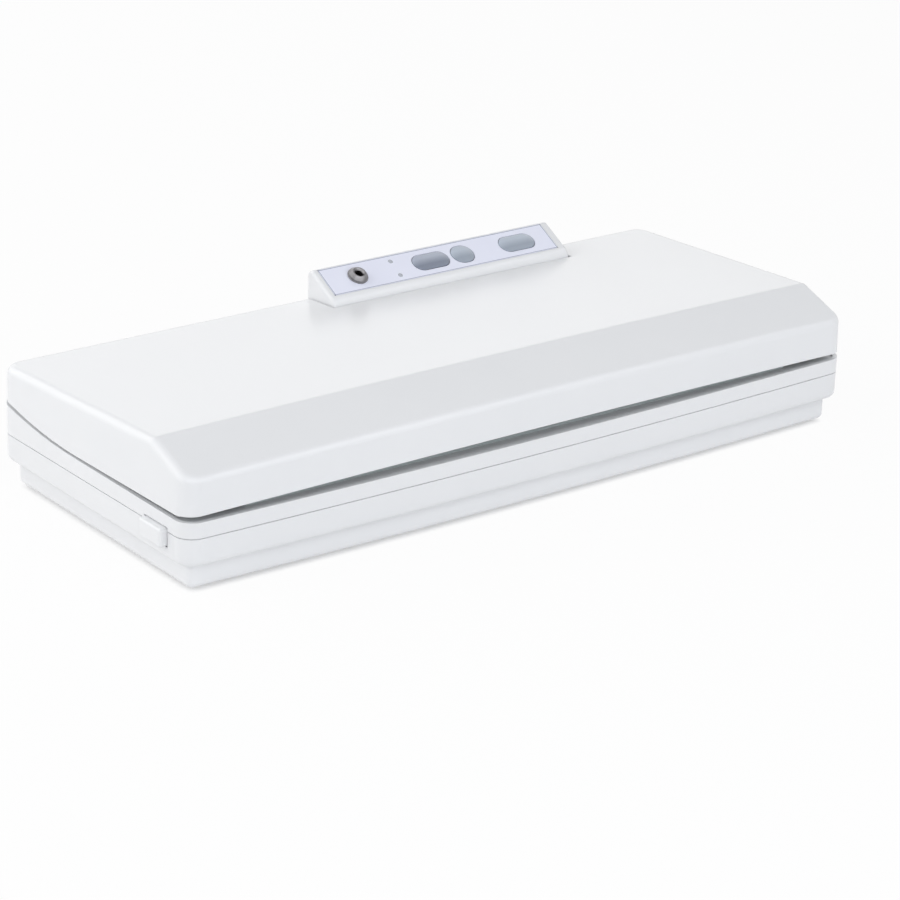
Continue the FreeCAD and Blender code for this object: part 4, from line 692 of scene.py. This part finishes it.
def rounded_loop(half_x: float, half_y: float, radius: float,
                 steps: int = 12) -> tuple[np.ndarray, np.ndarray]:
    """A rectangle with round corners as a path: four quarter circles joined by straight runs.

    Args:
        half_x: half its length.
        half_y: half its width.
        radius: the corners' radius.
        steps: points on each corner.

    Returns:
        The points in plan and the unit directions outwards.
    """
    turn = np.linspace(0, np.pi / 2, steps)[None] + np.arange(4)[:, None] * np.pi / 2
    signs = np.array([[1, 1], [-1, 1], [-1, -1], [1, -1]], float)
    middles = signs * (np.array([half_x, half_y]) - radius)
    outward = np.stack([np.cos(turn), np.sin(turn)], axis=-1)
    centres = middles[:, None] + radius * outward
    return centres.reshape(-1, 2), outward.reshape(-1, 2)


def arc_profile(centre: tuple[float, float], radius: float, start: float, end: float,
                steps: int = 6) -> np.ndarray:
    """An arc in a profile, centre + radius x (cos, sin), between two angles in degrees."""
    angle = np.radians(np.linspace(start, end, steps))
    return np.array(centre) + radius * np.stack([np.cos(angle), np.sin(angle)], axis=-1)


def shifted(x: float, y: float, z: float) -> Matrix:
    """A plain shift."""
    return Matrix.Translation(Vector((x, y, z)))


def settle(piece: Piece, finish: Material, body: str, slot: str, *nodes: str) -> None:
    """Dresses a new piece, hands it to its body and hides the CAD nodes that it replaces.

    Args:
        piece: the new piece.
        finish: its material.
        body: the CAD body that it moves with.
        slot: the record's material slot; not used.
        nodes: the CAD nodes that it replaces.
    """
    piece.data.materials.append(finish)
    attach(piece, body)
    if nodes:
        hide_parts(*nodes)
    LOG.info("%s: %d faces on %s", piece.name, len(piece.data.polygons), body)


# Console

@dataclass(frozen=True)
class KeyShape:
    """One panel key: its CAD node and body, its finish, and its size and place along the panel."""

    node: str
    body: str
    finish: str
    length: float
    width: float
    along: float


@dataclass
class Console:
    """The sloping panel at the back: its faceplate, three keys, two lenses and the hose port."""

    origin: Triple = (57.5 * MM, 76.6 * MM, 78.15 * MM)
    tilt: float = math.radians(28.7)
    key_proud: float = 1.2 * MM
    key_low: float = -2.5 * MM
    key_crown: float = 0.95 * MM
    key_edge: float = 0.5 * MM
    lens_radius: float = 1.4 * MM
    lens_low: float = -2.2 * MM
    lens_along: float = -31 * MM
    lens_across: float = 5.4 * MM
    port_along: float = -56.5 * MM
    keys: tuple[KeyShape, ...] = (
        KeyShape("vacuum_seal_button", "vacuum_seal_key", "key", 24 * MM, 11.2 * MM, -6.7 * MM),
        KeyShape("canister_button", "canister_key", "pale_key", 14.4 * MM, 12.6 * MM, 15.4 * MM),
        KeyShape("seal_button", "seal_key", "pale_key", 23.8 * MM, 11.2 * MM, 54 * MM),
    )

    def seat(self, along: float = 0.0, across: float = 0.0) -> Matrix:
        """The frame of a place along and up the panel: X along it, Y up the slope, Z out of it."""
        turn = Matrix.Rotation(self.tilt, 4, "X")
        return shifted(*self.origin) @ turn @ shifted(along, across, 0)

    def key_profile(self, radius: float) -> np.ndarray:
        """A key from its crown to its underside.

        The top is a shallow dome, z = top - crown (r / R)^2, which a rounded edge joins to the wall.

        Args:
            radius: half the key's width.

        Returns:
            (distance from the middle line, height) pairs.
        """
        edge = self.key_edge
        reach = np.linspace(0, radius - edge, 12)
        dome = self.key_proud - self.key_crown * (reach / radius) ** 2
        top = np.stack([reach, dome], axis=-1)
        fall = math.degrees(math.atan(2 * self.key_crown / radius))
        bend = arc_profile((radius - edge, dome[-1] - edge), edge, 90 - fall, 0, 8)
        base = np.array([[radius, self.key_low], [0, self.key_low]])
        return np.concatenate([top, bend, base])

    def key(self, key: KeyShape) -> Piece:
        """One key: its profile carried round the two half circles of its outline.

        Args:
            key: the key's size and place.

        Returns:
            The piece.
        """
        half = (key.length - key.width) / 2
        turn = np.linspace(-np.pi / 2, np.pi / 2, 33)
        turns = np.concatenate([turn, turn + np.pi])
        centres = np.stack([half * np.repeat([1.0, -1.0], len(turn)), 0 * turns], axis=-1)
        outward = np.stack([np.cos(turns), np.sin(turns)], axis=-1)
        grid = carried(self.key_profile(key.width / 2), centres, outward, closed=False)
        return skin(f"{key.node}_cap", [grid.moved(self.seat(key.along))])

    def lenses(self) -> Piece:
        """The two indicator lenses, each a low dome, an arc of 2.15 radii about its axis, on a short stem.

        Returns:
            The piece.
        """
        radius = self.lens_radius
        dome = arc_profile((0, -1.9 * radius), 2.15 * radius, 90, 62.3, 8)
        profile = np.concatenate([dome, [[radius, self.lens_low], [0, self.lens_low]]])
        places = [self.seat(self.lens_along, sign * self.lens_across) for sign in (-1, 1)]
        return skin("indicator_lens_domes", [lathe(profile, 32).moved(place) for place in places])

    def port(self) -> Piece:
        """The hose port: flange, groove, cone, rounded rim and stepped bore, turned about its own axis.

        The profile is (radius, height) pairs in millimetres.

        Returns:
            The piece.
        """
        foot = [(0.9, -10.5), (1.5, -10.5), (1.5, -6.0), (5.0, -6.0), (5.0, 0.0), (5.85, 0.0), (5.9, 0.1)]
        groove = [(5.9, 0.55), (5.75, 0.75), (5.4, 0.85), (5.35, 1.0), (5.5, 1.15), (5.55, 1.4)]
        rim = arc_profile((3.45, 2.85), 0.55, 50, 130, 9)
        bore = [(2.45, 2.6), (2.2, 2.2), (2.2, -5.0), (0.9, -5.0)]
        outline = np.concatenate([foot, groove, rim, bore])
        turned = lathe(outline * MM, 96, closed=True)
        return skin("hose_port", [turned.moved(self.seat(self.port_along))], crease=30.0)

    def build(self, rack: "Rack") -> None:
        """Makes and dresses the console's pieces.

        Args:
            rack: the finishes.
        """
        dress(["console_faceplate"], rack["panel_film"])
        for key in self.keys:
            settle(self.key(key), rack[key.finish], key.body, "key_grey", key.node)
        settle(self.lenses(), rack["lens"], "base", "lens_amber", "indicator_lenses")
        settle(self.port(), rack["port"], "base", "port_metal", "accessory_port")


# Sealing

@dataclass
class SealingLine:
    """The sealing line: two foam rings, the pressure bar and the tape over the heating strip."""

    ring_half_x: float = 180.5 * MM
    ring_half_y: float = 20.5 * MM
    ring_y: float = -45 * MM
    ring_radius: float = 7 * MM
    ring_width: float = 6 * MM
    lower: tuple[float, float] = (38 * MM, 41 * MM)
    upper: tuple[float, float] = (43 * MM, 41.3 * MM)
    bar_half: float = 174 * MM
    bar_y: float = -74 * MM
    bar_width: float = 8 * MM
    bar: tuple[float, float] = (43 * MM, 40.6 * MM)
    bar_ribs: float = 0.12
    tape: tuple[float, float] = (39.2 * MM, 39.4 * MM)

    def ring(self, name: str, root: float, crest: float) -> Piece:
        """A foam ring with a crowned face and a shallow groove along its crest.

        Across the ring the height is (1 - |a|^5)^(1/2) of the full height, less a dip cos^4 in the middle.

        Args:
            name: the piece's name.
            root: the height where it is stuck down.
            crest: the height that its crown reaches.

        Returns:
            The piece.
        """
        across = np.linspace(-1, 1, 25)
        rise = np.sqrt(1 - np.abs(across) ** 5)
        rise = rise * (1 - 0.1 * np.cos(across * np.pi / 2) ** 4)
        rise = rise / rise.max()
        profile = np.stack([across * self.ring_width / 2, root + rise * (crest - root)], axis=-1)
        centres, outward = rounded_loop(self.ring_half_x, self.ring_half_y, self.ring_radius)
        sheet = carried(profile, centres, outward, closed=True)
        return skin(name, [sheet.moved(shifted(0, self.ring_y, 0))], crease=60.0)

    def strip(self, name: str, root: float, crest: float, ribs: float) -> Piece:
        """A long bar with a rounded face and rounded ends.

        Its section is y = w |cos|^(1/2) and z = root + h sin^(1/2), signs kept, with ribs as a cosine
        across the face; towards each end the section shrinks along a quarter circle to a quarter of its
        size, and closes there.

        Args:
            name: the piece's name.
            root: the height of its flat side.
            crest: the height of its rounded face.
            ribs: the ribs' height as a share of its own.

        Returns:
            The piece.
        """
        half, wide = self.bar_half, self.bar_width / 2
        inner = np.linspace(-1, 1, 41) * (half - wide)
        cap = wide * np.sin(np.linspace(0.05, 1, 8) * np.pi / 2)
        along = np.concatenate([-(half - wide) - cap[::-1], inner, half - wide + cap])
        over = np.clip((np.abs(along) - (half - wide)) / wide, 0, 1)
        shrink = np.sqrt(np.clip(1 - over**2, 0, 1)) * 0.75 + 0.25 * (over < 1)
        angle = np.linspace(0, np.pi, 33)
        cosine, sine = np.cos(angle), np.sin(angle)
        y = wide * np.sign(cosine) * np.sqrt(np.abs(cosine))
        rise = np.sqrt(np.clip(sine, 0, 1)) * (1 - ribs * (0.5 - 0.5 * np.cos(8 * angle)))
        rise = rise / rise.max()
        points = np.stack([
            np.broadcast_to(along[:, None], (len(along), len(angle))),
            self.bar_y + shrink[:, None] * y,
            root + (crest - root) * shrink[:, None] * rise,
        ], axis=-1)
        return skin(name, [Grid(pointed(points))], crease=50.0)

    def build(self, rack: "Rack") -> None:
        """Makes and dresses the sealing pieces.

        Args:
            rack: the finishes.
        """
        lower = self.ring("lower_foam_ring", *self.lower)
        settle(lower, rack["foam"], "base", "gasket_grey", "lower_gasket")
        upper = self.ring("upper_foam_ring", *self.upper)
        settle(upper, rack["foam"], "lid", "gasket_grey", "upper_gasket")
        bar = self.strip("silicone_pressure_bar", *self.bar, self.bar_ribs)
        settle(bar, rack["silicone"], "lid", "silicone", "pressure_bar")
        tape = self.strip("heat_tape", *self.tape, 0.0)
        settle(tape, rack["tape"], "base", "tape_brown", "heater_tape")


# Small turned pieces

@dataclass
class Underside:
    """Feet, casing screws, lid screws and the cord's bush."""

    foot_x: float = 180 * MM
    foot_y: float = 62 * MM
    foot_radius: float = 7 * MM
    foot_height: float = 3 * MM
    foot_edge: float = 0.9 * MM
    foot_groove: float = 0.35 * MM
    foot_taper: float = 0.05 * MM
    gland: Triple = (-190 * MM, 90 * MM, 24.4 * MM)
    casing_screw: Triple = (2.9 * MM, 2.5 * MM, 1.5 * MM)
    casing_seat: float = 5.5 * MM
    casing_spots: tuple[Triple, ...] = (
        (192 * MM, 72 * MM, 38 * MM), (192 * MM, 0.0, 38 * MM), (70 * MM, -74 * MM, 34.5 * MM),
    )
    lid_screw: Triple = (2.8 * MM, 1.8 * MM, 1.4 * MM)
    lid_shank: float = 10 * MM
    thread: float = 0.6 * MM
    lid_spots: tuple[Triple, ...] = (
        (150 * MM, -18 * MM, 43 * MM), (150 * MM, 45 * MM, 47 * MM),
    )

    def foot_profile(self) -> np.ndarray:
        """A foot from the middle of its sole to the middle of its top.

        The sole is level with two grooves and a narrow third at its rim, each a cosine dip, and a round
        edge leads to the wall.

        Returns:
            (radius, height) pairs.
        """
        edge, radius = self.foot_edge, self.foot_radius
        reach = np.linspace(0, radius - edge, 60)
        wave = np.cos(reach / (radius - edge) * 5 * np.pi)
        sole = self.foot_groove * np.clip(-wave, 0, 1) ** 0.6
        bend = arc_profile((radius - edge, edge), edge, -90, 0, 8)
        top = np.array([[radius - self.foot_taper, self.foot_height], [0, self.foot_height]])
        return np.concatenate([np.stack([reach, sole], axis=-1), bend[1:], top])

    def feet(self) -> Piece:
        """The four feet, each its profile turned about an upright axis.

        Returns:
            The piece.
        """
        foot = lathe(self.foot_profile(), 64)
        spots = [(sx * self.foot_x, sy * self.foot_y) for sx in (-1, 1) for sy in (-1, 1)]
        return skin("rubber_feet", [foot.moved(shifted(x, y, 0)) for x, y in spots])

    def screw(self, head: float, thick: float, shank: float, length: float) -> Grid:
        """A pan-headed screw, head down at height 0 and tip up, with a cross recess in the head.

        The face is a dome thick (r / R)^2 / 4 deep; inside the arms of a cross, |x| or |y| under about a
        fifth of the head's radius, it is pressed in by half the head. The shank has ridges as a cosine.

        Args:
            head: the head's radius.
            thick: the head's height.
            shank: the shank's radius.
            length: the shank's length under the head.

        Returns:
            The sheet.
        """
        reach = np.linspace(0, head, 22)
        face = np.stack([reach, 0.25 * thick * (reach / head) ** 2], axis=-1)
        turns = np.linspace(0, length - 2 * shank, 36)
        ridge = shank * (0.92 + 0.08 * np.cos(turns / self.thread * np.pi))
        body = np.stack([ridge, thick + turns], axis=-1)
        rest = np.array([[head, 0.8 * thick], [0.9 * head, thick]])
        grid = lathe(np.concatenate([face, rest, body, [[0, thick + length]]]), 48)
        x, y = grid.points[..., 0], grid.points[..., 1]
        near, far = np.minimum(np.abs(x), np.abs(y)), np.maximum(np.abs(x), np.abs(y))
        arms = np.clip((0.22 * head - near) / (0.06 * head), 0, 1)
        arms = arms * np.clip((0.72 * head - far) / (0.1 * head), 0, 1)
        arms[len(reach):] = 0
        grid.points[..., 2] += 0.5 * thick * arms
        return grid

    def screws(self) -> tuple[Piece, Piece]:
        """The casing's six screws and the lid plate's four.

        Returns:
            The two pieces.
        """
        casing = []
        for x, y, tip in self.casing_spots:
            screw = self.screw(*self.casing_screw, tip - self.casing_seat - self.casing_screw[1])
            casing += [screw.moved(shifted(sign * x, y, self.casing_seat)) for sign in (-1, 1)]
        small, thick = self.screw(*self.lid_screw, self.lid_shank), self.lid_screw[1]
        lid = [small.moved(shifted(s * x, y, z - thick)) for x, y, z in self.lid_spots for s in (-1, 1)]
        return skin("casing_screws", casing), skin("lid_plate_screws", lid)

    def bush(self) -> Piece:
        """The cord's bush: a flared mouth at the back, a neck through the wall and a flange inside.

        The profile is (radius, depth) pairs in millimetres, turned about the bush's axis.

        Returns:
            The piece.
        """
        mouth = arc_profile((4.2, 0.8), 0.8, -90, 0, 6)
        flange = [(5.0, 2.5), (6.2, 2.6), (6.2, 4.9), (5.0, 5.0)]
        tail = [(5.0, 9.6), (4.6, 10.0), (3.3, 10.0), (3.0, 9.7)]
        flare = arc_profile((4.4, 1.4), 1.4, 180, 270, 8)
        profile = np.concatenate([mouth, flange, tail, flare]) * MM
        turn = Matrix.Rotation(math.pi / 2, 4, "X")
        return skin("cord_bush", [lathe(profile, 64, closed=True).moved(shifted(*self.gland) @ turn)])

    def build(self, rack: "Rack") -> None:
        """Makes and dresses the small turned pieces.

        Args:
            rack: the finishes.
        """
        settle(self.feet(), rack["rubber"], "base", "rubber_black", "feet")
        casing, lid = self.screws()
        settle(casing, rack["screw"], "base", "steel", "base_screws")
        settle(lid, rack["screw"], "lid", "steel", "lid_screws")
        settle(self.bush(), rack["rubber"], "base", "rubber_black", "cord_gland")


# Springs

@dataclass(frozen=True)
class SpringPlace:
    """One compression spring along X: its CAD node, the joint that presses it, its place and its size."""

    name: str
    node: str
    joint: str
    fixed: float
    pressed: float
    y: float
    radius: float
    turns: int
    travel: float

    def keep(self) -> float:
        """The share of its length that is left when the joint is at its limit."""
        return 1 - self.travel / abs(self.pressed - self.fixed)


@dataclass
class Springs:
    """The return springs of the two release buttons and of the vent valve's plunger."""

    wire: float = 0.35 * MM
    height: float = 26 * MM
    closing: float = 0.6
    turn_steps: int = 40
    sides: int = 12
    springs: tuple[SpringPlace, ...] = (
        SpringPlace("release_coil_left", "release_spring_left", "release_left_slide",
                    -178.05 * MM, -188.95 * MM, -60 * MM, 3 * MM, 6, 3 * MM),
        SpringPlace("release_coil_right", "release_spring_right", "release_right_slide",
                    178.05 * MM, 188.95 * MM, -60 * MM, 3 * MM, 6, 3 * MM),
        SpringPlace("valve_coil", "valve_spring", "vent_plunger_slide",
                    84.05 * MM, 91.95 * MM, 66 * MM, 4 * MM, 4, 2 * MM),
    )

    def coil(self, spring: SpringPlace) -> Piece:
        """A round wire along a helix whose end turns lie closer than the middle ones.

        At the share u of the turns the middle of the wire is at the angle a = 2 pi turns u, and at the
        share u - c sin(2 pi u) / (2 pi) of the length. Round it the wire is w (cos b, sin b) in the helix's
        normal and binormal.

        Args:
            spring: the spring's place and size.

        Returns:
            The piece.
        """
        share = np.linspace(0, 1, self.turn_steps * spring.turns + 1)
        angle = 2 * np.pi * spring.turns * share
        sign = math.copysign(1.0, spring.pressed - spring.fixed)
        length = abs(spring.pressed - spring.fixed) - 2 * self.wire
        along = share - self.closing * np.sin(2 * np.pi * share) / (2 * np.pi)
        x = spring.fixed + sign * (self.wire + length * along)
        radial = np.stack([0 * angle, np.cos(angle), np.sin(angle)], axis=-1)
        centre = np.stack([x, 0 * x + spring.y, 0 * x + self.height], axis=-1) + spring.radius * radial
        heading = np.gradient(centre, axis=0)
        heading = heading / np.linalg.norm(heading, axis=1, keepdims=True)
        binormal = np.cross(heading, radial)
        turn = np.linspace(0, 2 * np.pi, self.sides, endpoint=False)[None, :, None]
        round_wire = np.cos(turn) * radial[:, None] + np.sin(turn) * binormal[:, None]
        tube = centre[:, None] + self.wire * round_wire
        return skin(spring.name, [Grid(pointed(tube))])

    def build(self, rack: "Rack") -> None:
        """Makes and dresses the springs.

        Args:
            rack: the finishes.
        """
        for spring in self.springs:
            piece = self.coil(spring)
            settle(piece, rack["steel"], "base", "steel", spring.node)
            spring.keep()
            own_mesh(piece)


# Finishes of the CAD shells and the works inside

class Rack(dict[str, Material]):
    """The finished materials by short name, each made once."""

    def __init__(self, console: Console) -> None:
        """Makes every material.

        Args:
            console: the panel, which the film, the keys' painted shade and the port's rings follow.
        """
        panel = (console.origin, console.tilt)
        port = (tuple(console.seat(console.port_along).translation), console.tilt)
        finishes: list[Finish] = [
            Moulding("casing", (0.803, 0.81, 0.824), (0.788, 0.797, 0.812), 0.4, 0.45),
            Moulding("inner", (0.45, 0.50, 0.50), (0.41, 0.46, 0.46), 0.5, 0.05, 0.7 * MM),
            Moulding("bed", (0.52, 0.58, 0.58), (0.48, 0.54, 0.54), 0.5, 0.05, 0.7 * MM),
            Moulding("dark", (0.022, 0.023, 0.025), (0.03, 0.03, 0.032), 0.45, 0.1, 0.7 * MM),
            PanelFilm("panel_film", (0.84, 0.86, 0.98), (0.82, 0.84, 0.965),
                        (0.19, 0.22, 0.31), *panel),
            KeyPaintWithPaintedShade("key", (0.41, 0.45, 0.545), (0.17, 0.20, 0.265), *panel),
            KeyPaintWithPaintedShade("pale_key", (0.47, 0.53, 0.62), (0.29, 0.335, 0.405), *panel),
            Moulding("feeler", (0.62, 0.62, 0.58), (0.56, 0.56, 0.52), 0.4, 0.2),
            Moulding("lead", (0.32, 0.02, 0.015), (0.26, 0.015, 0.012), 0.4, 0.2),
            Lens("lamp", (0.75, 0.78, 0.74), (0.6, 0.64, 0.58)),
            Lens("lens", (0.62, 0.65, 0.72), (0.50, 0.53, 0.60)),
            Rubber("rubber", (0.018, 0.018, 0.02), (0.035, 0.035, 0.036), 0.75),
            Rubber("silicone", (0.12, 0.125, 0.125), (0.15, 0.155, 0.155), 0.45),
            Foam("foam", (0.06, 0.065, 0.066), (0.02, 0.021, 0.022)),
            Metal("steel", (0.56, 0.57, 0.58), (0.42, 0.43, 0.44), 0.32),
            Metal("screw", (0.5, 0.51, 0.53), (0.33, 0.34, 0.35), 0.36, Run.ALONG_Y),
            TurnedMetal("port", (0.28, 0.275, 0.285), (0.14, 0.137, 0.142), 0.3, *port),
            GlassTape("tape", (0.22, 0.125, 0.055), (0.10, 0.055, 0.025)),
            BoardLacquer("board", (0.012, 0.09, 0.035), (0.05, 0.2, 0.07)),
            Layered("core", (0.06, 0.06, 0.063), (0.02, 0.02, 0.021), 0.5 * MM, Axis.Z, 0.6, 0.5),
            Layered("copper", (0.55, 0.22, 0.07), (0.16, 0.05, 0.02), 0.6 * MM, Axis.Y, 0.9, 0.3),
        ]
        super().__init__({finish.name: finish.material() for finish in finishes})


def dress(nodes: Sequence[str], material: Material) -> None:
    """Gives CAD nodes a material.

    Args:
        nodes: their names.
        material: the material.
    """
    for name in nodes:
        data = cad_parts[name].data
        if not data.materials:
            data.materials.append(material)
        for slot in range(len(data.materials)):
            data.materials[slot] = material
        LOG.info("%s: %s", name, material.name)


@dataclass
class Works:
    """The CAD nodes that keep their own shape, in rows that begin with their finish."""

    nodes: tuple[tuple[str, ...], ...] = (
        ("casing", "base_pan", "upper_deck", "lid_shell", "console_housing", "release_button_left",
         "release_button_right"),
        ("inner", "lid_inner_plate", "latch_hook_left", "latch_hook_right", "channel_tray",
         "sealing_platform"),
        ("steel", "port_nut", "hinge_pins", "console_screws", "motor_shaft", "motor_rotor",
         "pump_eccentric", "pump_bearing", "pump_motor", "valve_plunger", "heating_strip"),
        ("dark", "pump_housing", "pump_head", "pump_rod", "vacuum_nozzle", "vent_valve",
         "vacuum_switch", "lid_switch", "tact_switches", "board_parts"),
        ("rubber", "pump_mounts", "pump_saddle", "pump_diaphragm"),
        ("silicone", "pump_hose", "port_hose"),
        ("board", "panel_board", "main_board"),
        ("bed", "heater_bed"), ("lamp", "panel_lamps"), ("core", "transformer_core"),
        ("copper", "transformer_coil"), ("feeler", "lid_switch_feeler"), ("lead", "heater_leads"),
    )

    def build(self, rack: Rack) -> None:
        """Dresses every node that stays.

        Args:
            rack: the finishes.
        """
        for finish, *nodes in self.nodes:
            dress(nodes, rack[finish])


# Studio

@dataclass(frozen=True)
class Softbox:
    """A large soft lamp that points at the object."""

    name: str
    place: Triple
    size: tuple[float, float]
    power: float
    colour: Colour = WHITE
    aim: Triple = (0.0, 0.0, 0.05)

    def build(self) -> None:
        """Makes the lamp, turned so that its face looks at its aim."""
        lamp = bpy.data.lights.new(self.name, "AREA")
        lamp.shape = "RECTANGLE"
        lamp.size, lamp.size_y = self.size
        lamp.energy = self.power
        lamp.color = self.colour
        holder = bpy.data.objects.new(self.name, lamp)
        holder.location = self.place
        holder.rotation_euler = (Vector(self.aim) - Vector(self.place)).to_track_quat("-Z", "Y").to_euler()
        bpy.context.scene.collection.objects.link(holder)


@dataclass
class Studio:
    """White background, pale floor, soft lamps and the camera."""

    floor_half: float = 4.0
    floor_colour: Colour = (0.92, 0.92, 0.92)
    floor_glow: float = 0.93
    contact: float = 3 * MM
    ambient: float = 0.35
    lamps: tuple[Softbox, ...] = (
        Softbox("left_softbox", (-1.15, 0.75, 0.6), (2.6, 1.2), 11.5),
        Softbox("high_softbox", (-1.1, 0.6, 1.3), (2.4, 1.2), 5.4),
        Softbox("back_softbox", (0.5, 1.6, 0.65), (2.2, 0.6), 3.3),
        Softbox("front_softbox", (-0.15, -1.4, 0.85), (3.0, 1.4), 17.5, COOL),
        Softbox("strip_light", (0.95, -0.75, 1.15), (1.2, 0.12), 2.2, COOL),
    )
    camera_place: Triple = (-0.946779, -1.234201, 0.623258)
    yaw: float = 0.658848
    pitch: float = 0.379988
    roll: float = 0.028625
    focal_pixels: float = 3119.031
    image_pixels: float = 900.0
    sensor: float = 36.0
    view_far: float = 50.0

    def world(self) -> None:
        """A white surround for what is seen, and a weaker even light for what it falls on."""
        graph = Graph(bpy.data.worlds.new("surround"))
        strength = graph.seen() * (1.0 - self.ambient) + self.ambient
        sockets = {"Color": WHITE, "Strength": strength}
        graph.finish("ShaderNodeOutputWorld", graph.node("ShaderNodeBackground", {}, sockets))
        bpy.context.scene.world = graph.owner

    def floor(self) -> None:
        """A flat pale floor, z = 0, that keeps the shadow and glows to the camera, less at the contact."""
        half = self.floor_half
        edge = np.linspace(-half, half, 9)
        x, y = np.meshgrid(edge, edge, indexing="ij")
        floor = skin("studio_floor", [Grid(np.stack([x, y, 0 * x], axis=-1), close_columns=False)])
        graph = Graph(bpy.data.materials.new("floor_paper"))
        paper = graph.node("ShaderNodeBsdfDiffuse", {}, {"Color": self.floor_colour})
        near = {"Distance": self.contact}
        open_air = graph.node("ShaderNodeAmbientOcclusion", {"samples": 4}, near, "AO")
        glow = graph.seen() * open_air * self.floor_glow
        blend = {0: glow, 1: paper, 2: graph.node("ShaderNodeEmission")}
        graph.finish("ShaderNodeOutputMaterial", graph.node("ShaderNodeMixShader", {}, blend))
        floor.data.materials.append(graph.owner)

    def camera(self) -> None:
        """The camera at the photograph's place, with its roll, its pitch down and its yaw to the right."""
        lens = bpy.data.cameras.new("photo_camera")
        lens.sensor_width = self.sensor
        lens.lens = self.focal_pixels * self.sensor / self.image_pixels
        lens.clip_end = self.view_far
        roll = Matrix.Rotation(self.roll, 4, "Z")
        pitch = Matrix.Rotation(math.pi / 2 - self.pitch, 4, "X")
        yaw = Matrix.Rotation(-self.yaw, 4, "Z")
        holder = bpy.data.objects.new("photo_camera", lens)
        holder.matrix_world = shifted(*self.camera_place) @ yaw @ pitch @ roll
        bpy.context.scene.collection.objects.link(holder)
        bpy.context.scene.camera = holder

    def build(self) -> None:
        """Sets up camera, surround, floor and lamps."""
        bpy.context.scene.view_settings.view_transform = "Standard"
        self.camera()
        self.world()
        self.floor()
        for lamp in self.lamps:
            lamp.build()


def main() -> None:
    """Builds the studio, dresses the shells and adds the new pieces."""
    logging.basicConfig(level=logging.INFO, format="%(name)s %(message)s")
    Studio().build()
    console = Console()
    rack = Rack(console)
    Works().build(rack)
    for assembly in (console, SealingLine(), Underside(), Springs()):
        assembly.build(rack)


if __name__ == "__main__":
    main()
